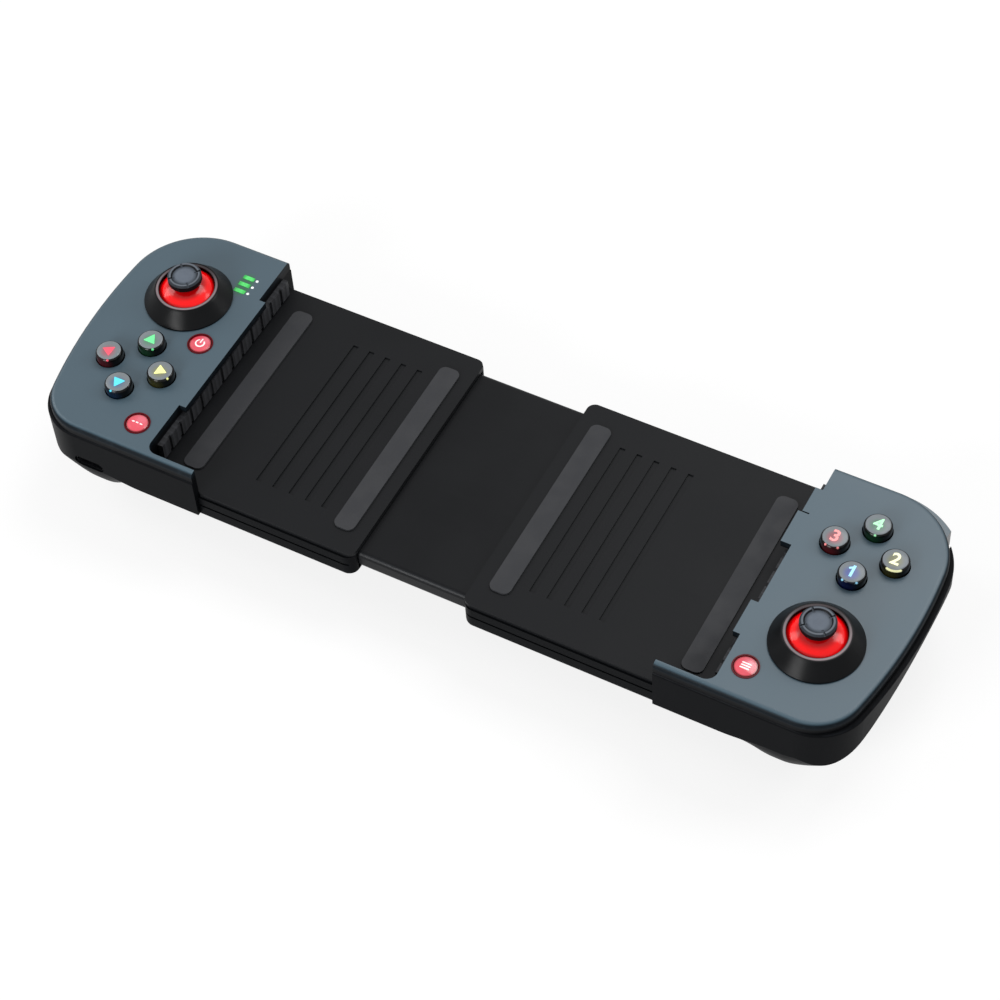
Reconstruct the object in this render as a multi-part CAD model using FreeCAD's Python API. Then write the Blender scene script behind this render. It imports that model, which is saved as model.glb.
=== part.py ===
# Telescopic handheld game controller, as separate pieces in one frame.
#
# Units are millimetres. X runs from the left handle to the right one, Y away from the player and Z up.
# Z = 0 is the table that the two grips stand on. X = 0 is midway between the handles as they are pulled
# open in the photograph, and Y = 0 is the middle of the bounding box.
# Handle pieces are built for the right side, with u as the distance outwards along X. The left ones are
# the same shapes mirrored across X = 0.
import FreeCAD
import Part
import math
import os

Vector = FreeCAD.Vector

# Overall sizes. The jaw is the upright wall at the inner side of each handle.
JAW_U = 82.3
HANDLE_WIDTH = 40.2
HANDLE_LENGTH = 76.6
FACE_Z = 31.5
OUTER_U = JAW_U + HANDLE_WIDTH
MIDDLE_U = JAW_U + HANDLE_WIDTH / 2
FAR_V = HANDLE_LENGTH / 2
NEAR_V = -FAR_V
NEAR_CORNER_R = 14.0
FAR_CORNER_R = 21.0
SIDE_BOW_R = 150.0
SIDE_BOW_V = 6.0
WALL = 2.0
JAW_WALL = 1.3
SEAM_R = 0.8

# Faceplate
FACE_HEIGHT = 3.3
FACE_SIDE_INSET = 1.3
FACE_EDGE_INSET = 0.3
FACE_ROUND = 1.5
PLATE = 2.2
PLATE_UNDER_Z = FACE_Z - PLATE
SHELL_TOP_Z = FACE_Z - FACE_HEIGHT

# Rim, lips and rubber pad that hold the ends of the device
RIM_LENGTH = 15.3
RIM_WIDTH = 2.1
RIM_CORNER_R = 3.0
RIM_END_U = JAW_U - RIM_LENGTH
RIM_V = NEAR_V + RIM_WIDTH
LIP_REACH = 2.0
LONG_LIP_REACH = 3.0
LEFT_LIPS = ((LIP_REACH, -19.2, 22.0),)
RIGHT_LIPS = ((LIP_REACH, 21.3, 29.6), (LONG_LIP_REACH, 10.2, 20.9), (LIP_REACH, -20.2, -9.6))
PAD = 1.6
PAD_RIB = 0.5
PAD_RIB_GAP = 1.2
PAD_RIB_PITCH = 5.2
PAD_FACE_U = JAW_U - PAD
PAD_START_V = RIM_V + 5.2
PAD_END_V = FAR_V - 4.3
PAD_TOP_Z = SHELL_TOP_Z - 0.2

# Trays under the ends of the device
LEFT_TRAY_INNER_U = 20.0
RIGHT_TRAY_INNER_U = 12.0
TRAY_INSET = 1.3
TRAY_HEIGHT = 9.0
TRAY_DROP = 9.5
TRAY_COVER = 1.4
TRAY_COVER_INSET = 0.6
TRAY_FLOOR = 1.4
TRAY_CORNER_R = 3.0
TRAY_EDGE_R = 1.2
TRAY_GROOVE = 0.5
TRAY_GROOVE_WIDTH = 0.7
TRAY_GROOVE_HEIGHT = 4.2
TRAY_INNER_U = {"left": LEFT_TRAY_INNER_U, "right": RIGHT_TRAY_INNER_U}
TRAY_V = FAR_V - TRAY_INSET
TRAY_COVER_V = TRAY_V - TRAY_COVER_INSET
TRAY_TOP_Z = FACE_Z - TRAY_DROP
TRAY_BOTTOM_Z = TRAY_TOP_Z - TRAY_HEIGHT
TRAY_SEAM_Z = TRAY_TOP_Z - TRAY_COVER
TRAY_END_U = JAW_U - 0.3
VENT_COUNT = 5
VENT_PITCH = 5.0
VENT_WIDTH = 1.6
VENT_DEPTH = 0.4
VENT_HALF_V = 26.0
VENT_START = 14.0
STRIP = 0.5
STRIP_WIDTH = 6.0
STRIP_HALF_V = 30.0
STRIP_CORNER_R = 2.0
STRIP_INSET = 4.0

# Sliding rail, its springs and the ribbon cable inside it
RAIL_INSET = 3.0
RAIL_GAP = 0.3
RAIL_LEFT_X = -47.0
RAIL_RIGHT_X = 60.0
RAIL_WALL = 1.2
RAIL_CORNER_R = 1.5
RAIL_RIB = 2.0
RAIL_V = TRAY_V - RAIL_INSET
RAIL_BOTTOM_Z = TRAY_BOTTOM_Z + TRAY_FLOOR + RAIL_GAP
RAIL_TOP_Z = TRAY_SEAM_Z - RAIL_GAP
RAIL_ANCHOR_X = RIGHT_TRAY_INNER_U - 4.0
SPRING_V = 20.0
SPRING_R = 1.4
SPRING_BORE_R = 0.8
CABLE_HALF_WIDTH = 4.0
CABLE = 0.25
CABLE_Z = RAIL_BOTTOM_Z + RAIL_WALL
CABLE_SLOT_GAP = 1.0

# Grip under each handle: it swells from the plain bottom to a ridge, and tapers up to the outer side like
# a hull. The power is 2 for an ellipse and 1 for a straight slope.
GRIP_START = 3.7
GRIP_RIDGE = 4.0
GRIP_TURN = 20.0
GRIP_NEAR_TURN = 17.3
GRIP_FAR_TURN = 24.3
GRIP_EDGE_Z = 19.0
GRIP_OUTER_Z = 28.0
GRIP_OUTER_POWER = 1.4
GRIP_FAR_Z = 3.0
GRIP_OVERRUN = 0.4
GRIP_FLOOR = 2.6
CRADLE_Z = TRAY_BOTTOM_Z + 1.5
GRIP_START_U = JAW_U + GRIP_START
GRIP_TURN_U = OUTER_U - GRIP_TURN
GRIP_FULL_U = GRIP_TURN_U - GRIP_RIDGE
GRIP_NEAR_V = NEAR_V + GRIP_NEAR_TURN
GRIP_FLAT_V = FAR_V - GRIP_FAR_TURN

# Circuit boards and rubber mats
BOARD_DROP = 10.3
BOARD = 1.2
BOARD_INSET = 4.5
BOARD_FAR_GAP = 11.8
BOARD_TONGUE = 4.8
BOARD_TOP_Z = FACE_Z - BOARD_DROP
BOARD_UNDER_Z = BOARD_TOP_Z - BOARD
BOARD_INNER_U = JAW_U + JAW_WALL + 0.6
BOARD_FAR_V = FAR_V - BOARD_FAR_GAP
CABLE_END_U = BOARD_INNER_U + 0.3
MAT = 1.2
MAT_HALF_U = 13.0
MAT_HALF_V = 12.0
MAT_CORNER_R = 3.0
MAT_SPOT_R = 3.6
MAT_STICK_GAP = 9.0
PILLAR_R = 2.4
PILLAR = 0.9
SMALL_PILLAR_R = 1.6
SMALL_PILLAR = 1.3
MAT_TOP_Z = BOARD_TOP_Z + MAT

# Thumb sticks
STICK_OFFSET = 2.2
STICK_PIVOT_DROP = 4.5
STICK_BASE_R = 12.2
STICK_BASE_EDGE = 0.5
STICK_RIM_R = 8.8
STICK_RIM_HEIGHT = 4.6
STICK_OPENING_R = 7.7
DOME_INSET = 1.2
DOME_GAP = 0.45
DOME_WALL = 1.1
DOME_EDGE_DEG = 58.0
CAP_R = 4.7
CAP_NECK_R = 3.6
CAP_HEIGHT = 3.0
CAP_RIM = 0.45
CAP_NOTCH = 0.56
SHAFT_R = 1.8
SHAFT_DROP = 1.2
HUB_R = 2.4
PIN_R = 0.9
PIN_GAP = 0.05
CARRIER_HALF = 6.9
CARRIER_BASE = 1.2
CARRIER_LIFT = 1.2
EAR = 1.3
EAR_HALF_V = 2.2
EAR_RISE = 1.9
ROCKER_HALF_V = 5.0
ROCKER_HALF_Z = 1.5
ROCKER_WALL_U = 1.4
ROCKER_WALL_V = 1.8
ROCKER_GAP = 0.4
HOUSING_WALL = 1.2
HOUSING_HEIGHT = 5.4
HOUSING_FLOOR = 0.4
HOUSING_GAP = 0.3
STICK_U = MIDDLE_U - STICK_OFFSET
STICK_V = {"left": 14.3, "right": -14.3}
STICK_PIVOT_Z = FACE_Z - STICK_PIVOT_DROP
DOME_R = STICK_BASE_R - DOME_INSET
STICK_TOP_Z = STICK_PIVOT_Z + DOME_R + CAP_HEIGHT
ROCKER_HALF_U = CARRIER_HALF - EAR - ROCKER_GAP

# Buttons
CLUSTER_OFFSET = 2.4
CLUSTER_R = 8.2
KEY_R = 3.75
KEY_HEIGHT = 2.7
KEY_ROUND = 0.8
KEY_TRAVEL = 1.0
KEY_GAP = 0.25
KEY_SEAT_GAP = 0.15
KEY_STEM_R = 2.0
KEY_STEM_GAP = 0.2
FLANGE = 0.9
SMALL_R = 2.95
SMALL_HEIGHT = 0.4
SMALL_CROWN = 0.35
SMALL_TRAVEL = 0.6
SMALL_SEAT_GAP = 0.5
SMALL_FLANGE = 0.8
SMALL_STEM_R = 1.4
RING_WIDTH = 0.6
RING_HEIGHT = 0.2
RING_GAP = 0.2
CLUSTER_U = MIDDLE_U - CLUSTER_OFFSET
CLUSTER_V = {"left": -13.0, "right": 15.6}
KEY_TOP_Z = FACE_Z + KEY_HEIGHT
SMALL_TOP_Z = FACE_Z + SMALL_HEIGHT
RING_R = SMALL_R + RING_WIDTH
SMALL_KEYS = {
    "left": {"power_button": (JAW_U + 6.3, 1.5), "select_button": (JAW_U + 6.7, NEAR_V + 8.9)},
    "right": {"start_button": (JAW_U + 5.3, NEAR_V + 9.9)},
}

# Battery lights on the left face, beside the stick
LIGHT_LENGTH = 3.4
LIGHT_WIDTH = 1.25
LIGHT_PITCH = 2.5
LIGHT_COUNT = 3
LIGHT_PROUD = 0.1
LIGHT_U = STICK_U - STICK_BASE_R + 0.9
LIGHT_FAR_V = STICK_V["left"] + STICK_BASE_R + 1.1

# Shoulder bumpers
BUMPER_HEIGHT = 6.5
BUMPER_PROUD = 2.0
BUMPER_DEPTH = 2.2
BUMPER_EDGE_R = 1.2
BUMPER_EAR_R = 2.5
BUMPER_PIN_R = 1.0
BUMPER_PIVOT_INSET_U = 10.2
BUMPER_PIVOT_INSET_V = 4.8
BUMPER_END_INSET = 6.8
BUMPER_DROP = 0.3
BUMPER_SHELF = 3.5
BUMPER_BACK_GAP = 3.8
BUMPER_END_GAP = 1.9
BUMPER_PIVOT = (JAW_U + BUMPER_PIVOT_INSET_U, FAR_V - BUMPER_PIVOT_INSET_V)
BUMPER_START_U = BUMPER_PIVOT[0] - BUMPER_EAR_R
BUMPER_END_U = OUTER_U - BUMPER_END_INSET
BUMPER_TOP_Z = SHELL_TOP_Z - BUMPER_DROP
BUMPER_LOW_Z = BUMPER_TOP_Z - BUMPER_HEIGHT

# Shoulder triggers, each hung from a pin along X
TRIGGER_START = 10.3
TRIGGER_SIDE = 15.6
TRIGGER_HEIGHT = 10.3
TRIGGER_GAP = 2.6
TRIGGER_PROUD = 5.2
TRIGGER_EDGE_R = 0.8
TRIGGER_PIVOT_INSET = 4.3
TRIGGER_PIVOT_DROP = 2.2
TRIGGER_BACK = 2.0
TRIGGER_CREST = 4.8
TRIGGER_BROW = 6.2
TRIGGER_BROW_DROP = 1.2
TRIGGER_HOLLOW = 6.9
TRIGGER_HOLLOW_DROP = 3.4
TRIGGER_TIP = 0.9
TRIGGER_TOE = 0.5
TRIGGER_HEEL = 1.6
TRIGGER_HEEL_RISE = 0.6
TRIGGER_WAIST_DROP = 2.4
TRIGGER_PIN_R = 1.2
TRIGGER_PIN_END = 2.4
TRIGGER_SWING = 1.3
WINDOW_GAP = 0.4
TRIGGER_START_U = JAW_U + TRIGGER_START
TRIGGER_END_U = OUTER_U - TRIGGER_SIDE
TRIGGER_TOP_Z = BUMPER_LOW_Z - TRIGGER_GAP
TRIGGER_LOW_Z = TRIGGER_TOP_Z - TRIGGER_HEIGHT
TRIGGER_PIVOT = (FAR_V - TRIGGER_PIVOT_INSET, TRIGGER_TOP_Z - TRIGGER_PIVOT_DROP)
TRIGGER_REACH_V = FAR_V + TRIGGER_PROUD

# Screws: u, v and the height of the head's seat, a little inside the curved underside
FAR_SCREW_INSET = 5.1
FAR_SCREW_SEAT = 2.5
NEAR_SCREW_INSET = 4.7
NEAR_SCREW_SEAT_Z = 13.0
OUTER_SCREW_INSET = 6.5
OUTER_SCREW_SEAT_Z = 17.4
FAR_SCREW_U = JAW_U + 4.5
NEAR_SCREW_U = JAW_U + 10.9
SCREW_PLACES = (
    (FAR_SCREW_U, FAR_V - FAR_SCREW_INSET, CRADLE_Z + FAR_SCREW_SEAT),
    (OUTER_U - OUTER_SCREW_INSET, 0.0, OUTER_SCREW_SEAT_Z),
    (NEAR_SCREW_U, NEAR_V + NEAR_SCREW_INSET, NEAR_SCREW_SEAT_Z),
)
SCREW_R = 1.0
SCREW_HEAD_R = 2.0
SCREW_HEAD = 1.6
SCREW_SLOT = 0.6
SCREW_SLOT_LENGTH = 2.6
SCREW_SLOT_DEPTH = 0.8
HEAD_GAP = 0.2
POST_R = 2.4
TUB_POST_R = 3.2
TRAY_SCREW_R = 0.7
TRAY_SCREW_HEAD_R = 1.1
TRAY_SCREW_HEAD = 0.9
TRAY_SCREW_SLOT = 0.3
TRAY_SCREW_SLOT_LENGTH = 1.4
TRAY_SCREW_SLOT_DEPTH = 0.5
TRAY_SCREW_SEAT = 1.2
TRAY_SCREW_END = 0.5
TRAY_SCREW_V = TRAY_V - 1.4

# Charging socket and its board in the left grip, and the battery in the right one
SOCKET_WIDTH = 8.9
SOCKET_HEIGHT = 3.2
SOCKET_DEPTH = 7.0
SOCKET_WALL = 0.35
SOCKET_INSET = 0.6
SOCKET_GAP = 0.12
SOCKET_SIDE_GAP = 0.45
TONGUE_HALF = 3.2
CHARGER_BOARD = 1.0
CHARGER_BOARD_INSET = 3.1
CHARGER_BOARD_LENGTH = 10.7
CHARGER_BOARD_LEFT = 0.25
CHARGER_BOARD_RIGHT = 2.25
CHARGER_RIB_INSET = 8.3
BATTERY_WIDTH = 13.5
BATTERY_LENGTH = 30.0
BATTERY = 8.0
BATTERY_CORNER_R = 2.0
SOCKET_U = NEAR_SCREW_U + TUB_POST_R + SOCKET_SIDE_GAP + SOCKET_WIDTH / 2
SOCKET_Z = BOARD_TOP_Z - 4.0
CHARGER_BOARD_Z = SOCKET_Z - SOCKET_HEIGHT / 2 - CHARGER_BOARD
BATTERY_U = MIDDLE_U - 1.4
BATTERY_V = -1.0
BATTERY_TOP_Z = BOARD_TOP_Z - 6.0
BATTERY_LOW_Z = BATTERY_TOP_Z - BATTERY
RIB = 1.2
RIB_REACH = 8.5

BODY = (OUTER_U, NEAR_V, FAR_V, NEAR_CORNER_R, FAR_CORNER_R, SIDE_BOW_R)
FACE = (
    OUTER_U - FACE_SIDE_INSET,
    NEAR_V + FACE_EDGE_INSET,
    FAR_V - FACE_EDGE_INSET,
    NEAR_CORNER_R - FACE_EDGE_INSET,
    FAR_CORNER_R - FACE_EDGE_INSET,
    SIDE_BOW_R,
)
Y_SHIFT = -(TRIGGER_REACH_V + NEAR_V) / 2
TOP = Vector(0, 0, 1)

# Further than any of the part, for the shapes that cut it
REACH = 200.0


def box(x0, x1, y0, y1, z0, z1):
    return Part.makeBox(x1 - x0, y1 - y0, z1 - z0, Vector(x0, y0, z0))


def rod(x, y, z0, z1, radius):
    return Part.makeCylinder(radius, z1 - z0, Vector(x, y, z0))


def tube(x, y, z0, z1, outer, inner):
    return rod(x, y, z0, z1, outer).cut(rod(x, y, z0, z1, inner))


def fused(first, *others):
    return first.fuse(list(others)).removeSplitter()


def spun(profile, x, y):
    """A solid of revolution about the upright line through x, y, from (radius, z) points."""
    points = [Vector(r, 0, z) for r, z in profile]
    wire = Part.makePolygon(points + points[:1])
    solid = Part.Face(wire).revolve(Vector(0, 0, 0), TOP, 360)
    solid.translate(Vector(x, y, 0))
    return solid


def rounded_box(x0, x1, y0, y1, z0, z1, radius, axis="z"):
    """A box whose four edges along one axis are rounded."""
    solid = box(x0, x1, y0, y1, z0, z1)
    along = {"x": Vector(1, 0, 0), "y": Vector(0, 1, 0), "z": TOP}[axis]
    edges = [e for e in solid.Edges if abs(e.tangentAt(e.FirstParameter).dot(along)) > 0.99]
    return solid.makeFillet(radius, edges)


def shrunk(outline, inset):
    outer, near, far, near_r, far_r, bow = outline
    return (outer - inset, near + inset, far - inset, near_r - inset, far_r - inset, bow - inset)


def corner(outline, at_far):
    """The centre of a rounded plan corner and the point where it runs into the bowed side."""
    outer, near, far, near_r, far_r, bow = outline
    radius = far_r if at_far else near_r
    centre_v = far - radius if at_far else near + radius
    bow_u = outer - bow
    reach = math.sqrt((bow - radius) ** 2 - (centre_v - SIDE_BOW_V) ** 2)
    centre = Vector(bow_u + reach, centre_v, 0)
    middle = Vector(bow_u, SIDE_BOW_V, 0)
    outwards = (centre - middle).normalize()
    return centre, radius, middle + outwards * bow


def corner_arc(outline, at_far):
    """The rounded corner from the straight edge to the bowed side."""
    centre, radius, end = corner(outline, at_far)
    start = centre + Vector(0, radius if at_far else -radius, 0)
    halfway = ((start - centre) + (end - centre)).normalize()
    return Part.Arc(start, centre + halfway * radius, end).toShape(), start, end


def plan_face(outline, inner_u, rim=False):
    """The outline of a handle seen from above. With the rim, an arm runs along the near edge."""
    outer, near, far = outline[:3]
    far_arc, far_start, far_end = corner_arc(outline, True)
    near_arc, near_start, near_end = corner_arc(outline, False)
    side = Part.Arc(far_end, Vector(outer, SIDE_BOW_V, 0), near_end).toShape()
    corner_far = Vector(inner_u, far, 0)
    if rim:
        bend = Vector(inner_u - RIM_CORNER_R, RIM_V + RIM_CORNER_R, 0)
        slant = RIM_CORNER_R / math.sqrt(2)
        arm = [Vector(RIM_END_U, near, 0), Vector(RIM_END_U, RIM_V, 0), Vector(bend.x, RIM_V, 0)]
        inner_end = Vector(inner_u, bend.y, 0)
        inner = [
            Part.makeLine(near_start, arm[0]),
            Part.makeLine(arm[0], arm[1]),
            Part.makeLine(arm[1], arm[2]),
            Part.Arc(arm[2], bend + Vector(slant, -slant, 0), inner_end).toShape(),
            Part.makeLine(inner_end, corner_far),
        ]
    else:
        corner_near = Vector(inner_u, near, 0)
        inner = [Part.makeLine(near_start, corner_near), Part.makeLine(corner_near, corner_far)]
    edges = [Part.makeLine(corner_far, far_start), far_arc, side, near_arc] + inner
    return Part.Face(Part.Wire(Part.__sortEdges__(edges)))


def plan_prism(outline, inner_u, z0, z1, rim=False):
    face = plan_face(outline, inner_u, rim)
    face.translate(Vector(0, 0, z0))
    return face.extrude(Vector(0, 0, z1 - z0))


def outer_edges(solid, z, outline):
    """The outside edges of a plan prism at one height, without those at the jaw and the rim's inside."""
    near, far = outline[1:3]
    found = []
    for edge in solid.Edges:
        box_ = edge.BoundBox
        middle = box_.Center
        if abs(box_.ZMin - z) > 0.01 or abs(box_.ZMax - z) > 0.01:
            continue
        if middle.x > GRIP_FULL_U or middle.y < near + 0.1 or middle.y > far - 0.1:
            found.append(edge)
    return found


def ellipse_part(step, steps, power=2.0):
    """How far along, and how deep, a quarter ellipse has gone after some of its steps."""
    angle = math.pi / 2 * step / steps
    return math.sin(angle) ** (2 / power), math.cos(angle) ** (2 / power)


def smooth(t):
    return t * t * (3 - 2 * t)


def grip_stations_u():
    """(u, share of the grip's depth, height of the plain bottom) across the handle."""
    plain = (RIM_END_U - 2.0, JAW_U - 10.3, JAW_U - 4.3, JAW_U + 0.7)
    flat = [(u, 0.0, CRADLE_Z) for u in plain]
    width = GRIP_FULL_U - GRIP_START_U
    inner = [(GRIP_START_U + t / 8 * width, smooth(t / 8), CRADLE_Z) for t in range(9)]
    ridge = (GRIP_TURN_U - GRIP_FULL_U) / 3
    inner += [(GRIP_FULL_U + ridge * k, 1.0, CRADLE_Z) for k in (1, 2)]
    reach = OUTER_U + GRIP_OVERRUN - GRIP_TURN_U
    outer = []
    for step in range(9):
        along, depth = ellipse_part(step, 8, GRIP_OUTER_POWER)
        outer.append((GRIP_TURN_U + along * reach, depth, GRIP_OUTER_Z))
    return flat + inner + outer


def grip_stations_v():
    """(v, height of the grip's underside) from the near wall to the far one."""
    reach = GRIP_NEAR_V - (NEAR_V - GRIP_OVERRUN)
    near = []
    for step in range(8, -1, -1):
        along, depth = ellipse_part(step, 8)
        near.append((GRIP_NEAR_V - along * reach, GRIP_EDGE_Z * (1 - depth)))
    flat = [(GRIP_NEAR_V + t * (GRIP_FLAT_V - GRIP_NEAR_V), 0.0) for t in (0.2, 0.4, 0.6, 0.8, 1.0)]
    rise = FAR_V + GRIP_OVERRUN - GRIP_FLAT_V
    far = [(GRIP_FLAT_V + t * rise, GRIP_FAR_Z * t * t) for t in (0.2, 0.4, 0.6, 0.8, 1.0)]
    return near + flat + far


def above_grip(lift):
    """Everything above the underside of a handle, raised by lift."""
    rows = []
    for u, share, plain in grip_stations_u():
        rows.append([Vector(u, v, plain + share * (z - plain) + lift) for v, z in grip_stations_v()])
    knots = []
    for count in (len(rows), len(rows[0])):
        spans = count - 3
        knots.append(([4] + [1] * (spans - 1) + [4], list(range(spans + 1))))
    (u_mults, u_knots), (v_mults, v_knots) = knots
    surface = Part.BSplineSurface()
    surface.buildFromPolesMultsKnots(rows, u_mults, v_mults, u_knots, v_knots, False, False, 3, 3)
    return surface.toShape().extrude(Vector(0, 0, REACH))


def tray_block(side):
    """The lower half of a tray, with its channel for the rail and a groove along each side."""
    inner = TRAY_INNER_U[side]
    outer = JAW_U + JAW_WALL
    block = box(inner, outer, -TRAY_V, TRAY_V, TRAY_BOTTOM_Z, TRAY_SEAM_Z)
    ends = [e for e in block.Edges if abs(e.BoundBox.XMax - inner) < 0.01 and e.BoundBox.ZLength > 1]
    block = block.makeFillet(TRAY_CORNER_R, ends)
    low = [e for e in block.Edges if e.BoundBox.ZMax < TRAY_BOTTOM_Z + 0.01]
    low = [e for e in low if e.BoundBox.XMin < outer - 0.1]
    block = block.makeFillet(TRAY_EDGE_R, low)
    channel_v = RAIL_V + RAIL_GAP
    channel = box(inner - 1, TRAY_END_U, -channel_v, channel_v, TRAY_BOTTOM_Z + TRAY_FLOOR, TRAY_TOP_Z)
    block = block.cut(channel)
    z0 = TRAY_BOTTOM_Z + TRAY_GROOVE_HEIGHT
    for v in (-TRAY_V, TRAY_V):
        groove = box(inner - 1, outer, v - TRAY_GROOVE, v + TRAY_GROOVE, z0, z0 + TRAY_GROOVE_WIDTH)
        block = block.cut(groove)
    return block


def tray_screw_places(side):
    inner = TRAY_INNER_U[side] + 7.0
    return [(u, v) for u in (inner, TRAY_END_U - 6.0) for v in (-TRAY_SCREW_V, TRAY_SCREW_V)]


def screw_cuts(side):
    """Head recesses and shank holes, driven from below."""
    cuts = []
    for u, v, seat in SCREW_PLACES:
        cuts.append(rod(u, v, -REACH, seat, SCREW_HEAD_R + HEAD_GAP))
        cuts.append(rod(u, v, -REACH, PLATE_UNDER_Z, SCREW_R))
    for u, v in tray_screw_places(side):
        cuts.append(rod(u, v, -REACH, TRAY_BOTTOM_Z + TRAY_SCREW_SEAT, TRAY_SCREW_HEAD_R))
        cuts.append(rod(u, v, -REACH, TRAY_TOP_Z - TRAY_SCREW_END, TRAY_SCREW_R))
    return cuts


def slot(u, v, length, width, z0, depth):
    return box(u - length / 2, u + length / 2, v - width / 2, v + width / 2, z0, z0 + depth)


def screws(side):
    solids = []
    for u, v, seat in SCREW_PLACES:
        low = seat - SCREW_HEAD
        head = rod(u, v, low, seat, SCREW_HEAD_R)
        head = head.cut(slot(u, v, SCREW_SLOT_LENGTH, SCREW_SLOT, low, SCREW_SLOT_DEPTH))
        head = head.cut(slot(u, v, SCREW_SLOT, SCREW_SLOT_LENGTH, low, SCREW_SLOT_DEPTH))
        solids.append(fused(head, rod(u, v, seat, SHELL_TOP_Z - 1, SCREW_R)))
    for u, v in tray_screw_places(side):
        seat = TRAY_BOTTOM_Z + TRAY_SCREW_SEAT
        low = seat - TRAY_SCREW_HEAD
        head = rod(u, v, low, seat, TRAY_SCREW_HEAD_R)
        head = head.cut(slot(u, v, TRAY_SCREW_SLOT_LENGTH, TRAY_SCREW_SLOT, low, TRAY_SCREW_SLOT_DEPTH))
        solids.append(fused(head, rod(u, v, seat, TRAY_TOP_Z - TRAY_SCREW_END, TRAY_SCREW_R)))
    return Part.makeCompound(solids)


def bumper_window():
    """Room in the shell for the bumper, with its travel."""
    start = BUMPER_START_U - WINDOW_GAP - 0.1
    ring = plan_prism(shrunk(BODY, -4 * BUMPER_PROUD), start, BUMPER_LOW_Z - WINDOW_GAP, REACH)
    core = plan_prism(shrunk(BODY, BUMPER_DEPTH + BUMPER_BACK_GAP), RIM_END_U, 0, REACH)
    near = box(0, REACH, -REACH, 0, 0, REACH)
    side = box(BUMPER_END_U + BUMPER_END_GAP, REACH, -REACH, REACH, 0, REACH)
    return ring.cut(core).cut(near).cut(side)


def trigger_window():
    u0, u1 = TRIGGER_START_U - WINDOW_GAP, TRIGGER_END_U + WINDOW_GAP
    z0, z1 = TRIGGER_LOW_Z - TRIGGER_SWING, TRIGGER_TOP_Z + WINDOW_GAP
    return box(u0, u1, TRIGGER_PIVOT[0] - 5.0, REACH, z0, z1)


def shelf_and_lugs():
    """The bumper pin's shelf, and the two lugs that hold the trigger's pin."""
    u, v = BUMPER_PIVOT
    under, over = TRIGGER_TOP_Z + WINDOW_GAP, BUMPER_LOW_Z - WINDOW_GAP
    shelf = box(u - BUMPER_SHELF, u + BUMPER_SHELF, v - 3.0, FAR_V - 0.5, under, over)
    pivot_v, pivot_z = TRIGGER_PIVOT
    lugs = []
    inner = TRIGGER_START_U - 3.0, TRIGGER_START_U - WINDOW_GAP
    outer = TRIGGER_END_U + WINDOW_GAP, TRIGGER_END_U + 4.6
    for u0, u1 in (inner, outer):
        lugs.append(box(u0, u1, pivot_v - 3.5, pivot_v + 2.8, pivot_z - 2.6, under))
    return [shelf] + lugs


def floor_ribs(side):
    """Ribs on the grip's floor, under the battery's height, and one under the charging board."""
    near, far = BATTERY_V - BATTERY_LENGTH / 2 + 3.0, BATTERY_V + BATTERY_LENGTH / 2 - 5.0
    half = BATTERY_WIDTH / 2
    sides = BATTERY_U - half - RIB_REACH, BATTERY_U + half
    ribs = [box(*sides, v, v + RIB, -REACH, BATTERY_LOW_Z) for v in (near, far)]
    if side == "left":
        v = NEAR_V + CHARGER_RIB_INSET
        half = SOCKET_WIDTH / 2 + CHARGER_BOARD_LEFT
        ribs.append(box(SOCKET_U - half, SOCKET_U + half, v, v + RIB, -REACH, CHARGER_BOARD_Z))
    return ribs


def cable_slot():
    half = CABLE_HALF_WIDTH + CABLE_SLOT_GAP
    return box(TRAY_END_U - 1, CABLE_END_U + 0.2, -half, half, CABLE_Z - 0.7, CABLE_Z + 2.6)


def socket_hole(grow, v0, v1):
    half_w = SOCKET_WIDTH / 2 + grow
    half_h = SOCKET_HEIGHT / 2 + grow
    z0, z1 = SOCKET_Z - half_h, SOCKET_Z + half_h
    return rounded_box(SOCKET_U - half_w, SOCKET_U + half_w, v0, v1, z0, z1, half_h - 0.01, "y")


def back_shell(side):
    """Grip tub, near rim and tray half in one moulding."""
    solid = plan_prism(BODY, JAW_U, -REACH, SHELL_TOP_Z, rim=True)
    solid = solid.makeFillet(SEAM_R, outer_edges(solid, SHELL_TOP_Z, BODY))
    tub = solid.common(above_grip(0))
    inside = plan_prism(shrunk(BODY, WALL), JAW_U + JAW_WALL, -REACH, FACE_Z).common(above_grip(GRIP_FLOOR))
    walls = tub.cut(inside).cut(bumper_window()).cut(trigger_window())
    posts = [rod(u, v, -REACH, BOARD_UNDER_Z, TUB_POST_R) for u, v, _ in SCREW_PLACES]
    fills = [piece.common(tub) for piece in posts + shelf_and_lugs() + floor_ribs(side)]
    shell = fused(walls, *fills, tray_block(side))
    pin_hole = rod(*BUMPER_PIVOT, TRIGGER_TOP_Z - 0.8, BUMPER_LOW_Z + 0.6, BUMPER_PIN_R)
    shell = shell.cut(cable_slot()).cut(pin_hole).cut(trigger_pin())
    if side == "left":
        shell = shell.cut(socket_hole(SOCKET_GAP, NEAR_V - 1, NEAR_V + WALL + 1))
    return shell.cut(screw_cuts(side))


def key_places(side):
    """The four buttons of a cluster: the name's ending, with (u, v)."""
    v = CLUSTER_V[side]
    outwards, inwards = ("left", "right") if side == "left" else ("right", "left")
    return {
        "up": (CLUSTER_U, v + CLUSTER_R),
        "down": (CLUSTER_U, v - CLUSTER_R),
        outwards: (CLUSTER_U + CLUSTER_R, v),
        inwards: (CLUSTER_U - CLUSTER_R, v),
    }


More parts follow.
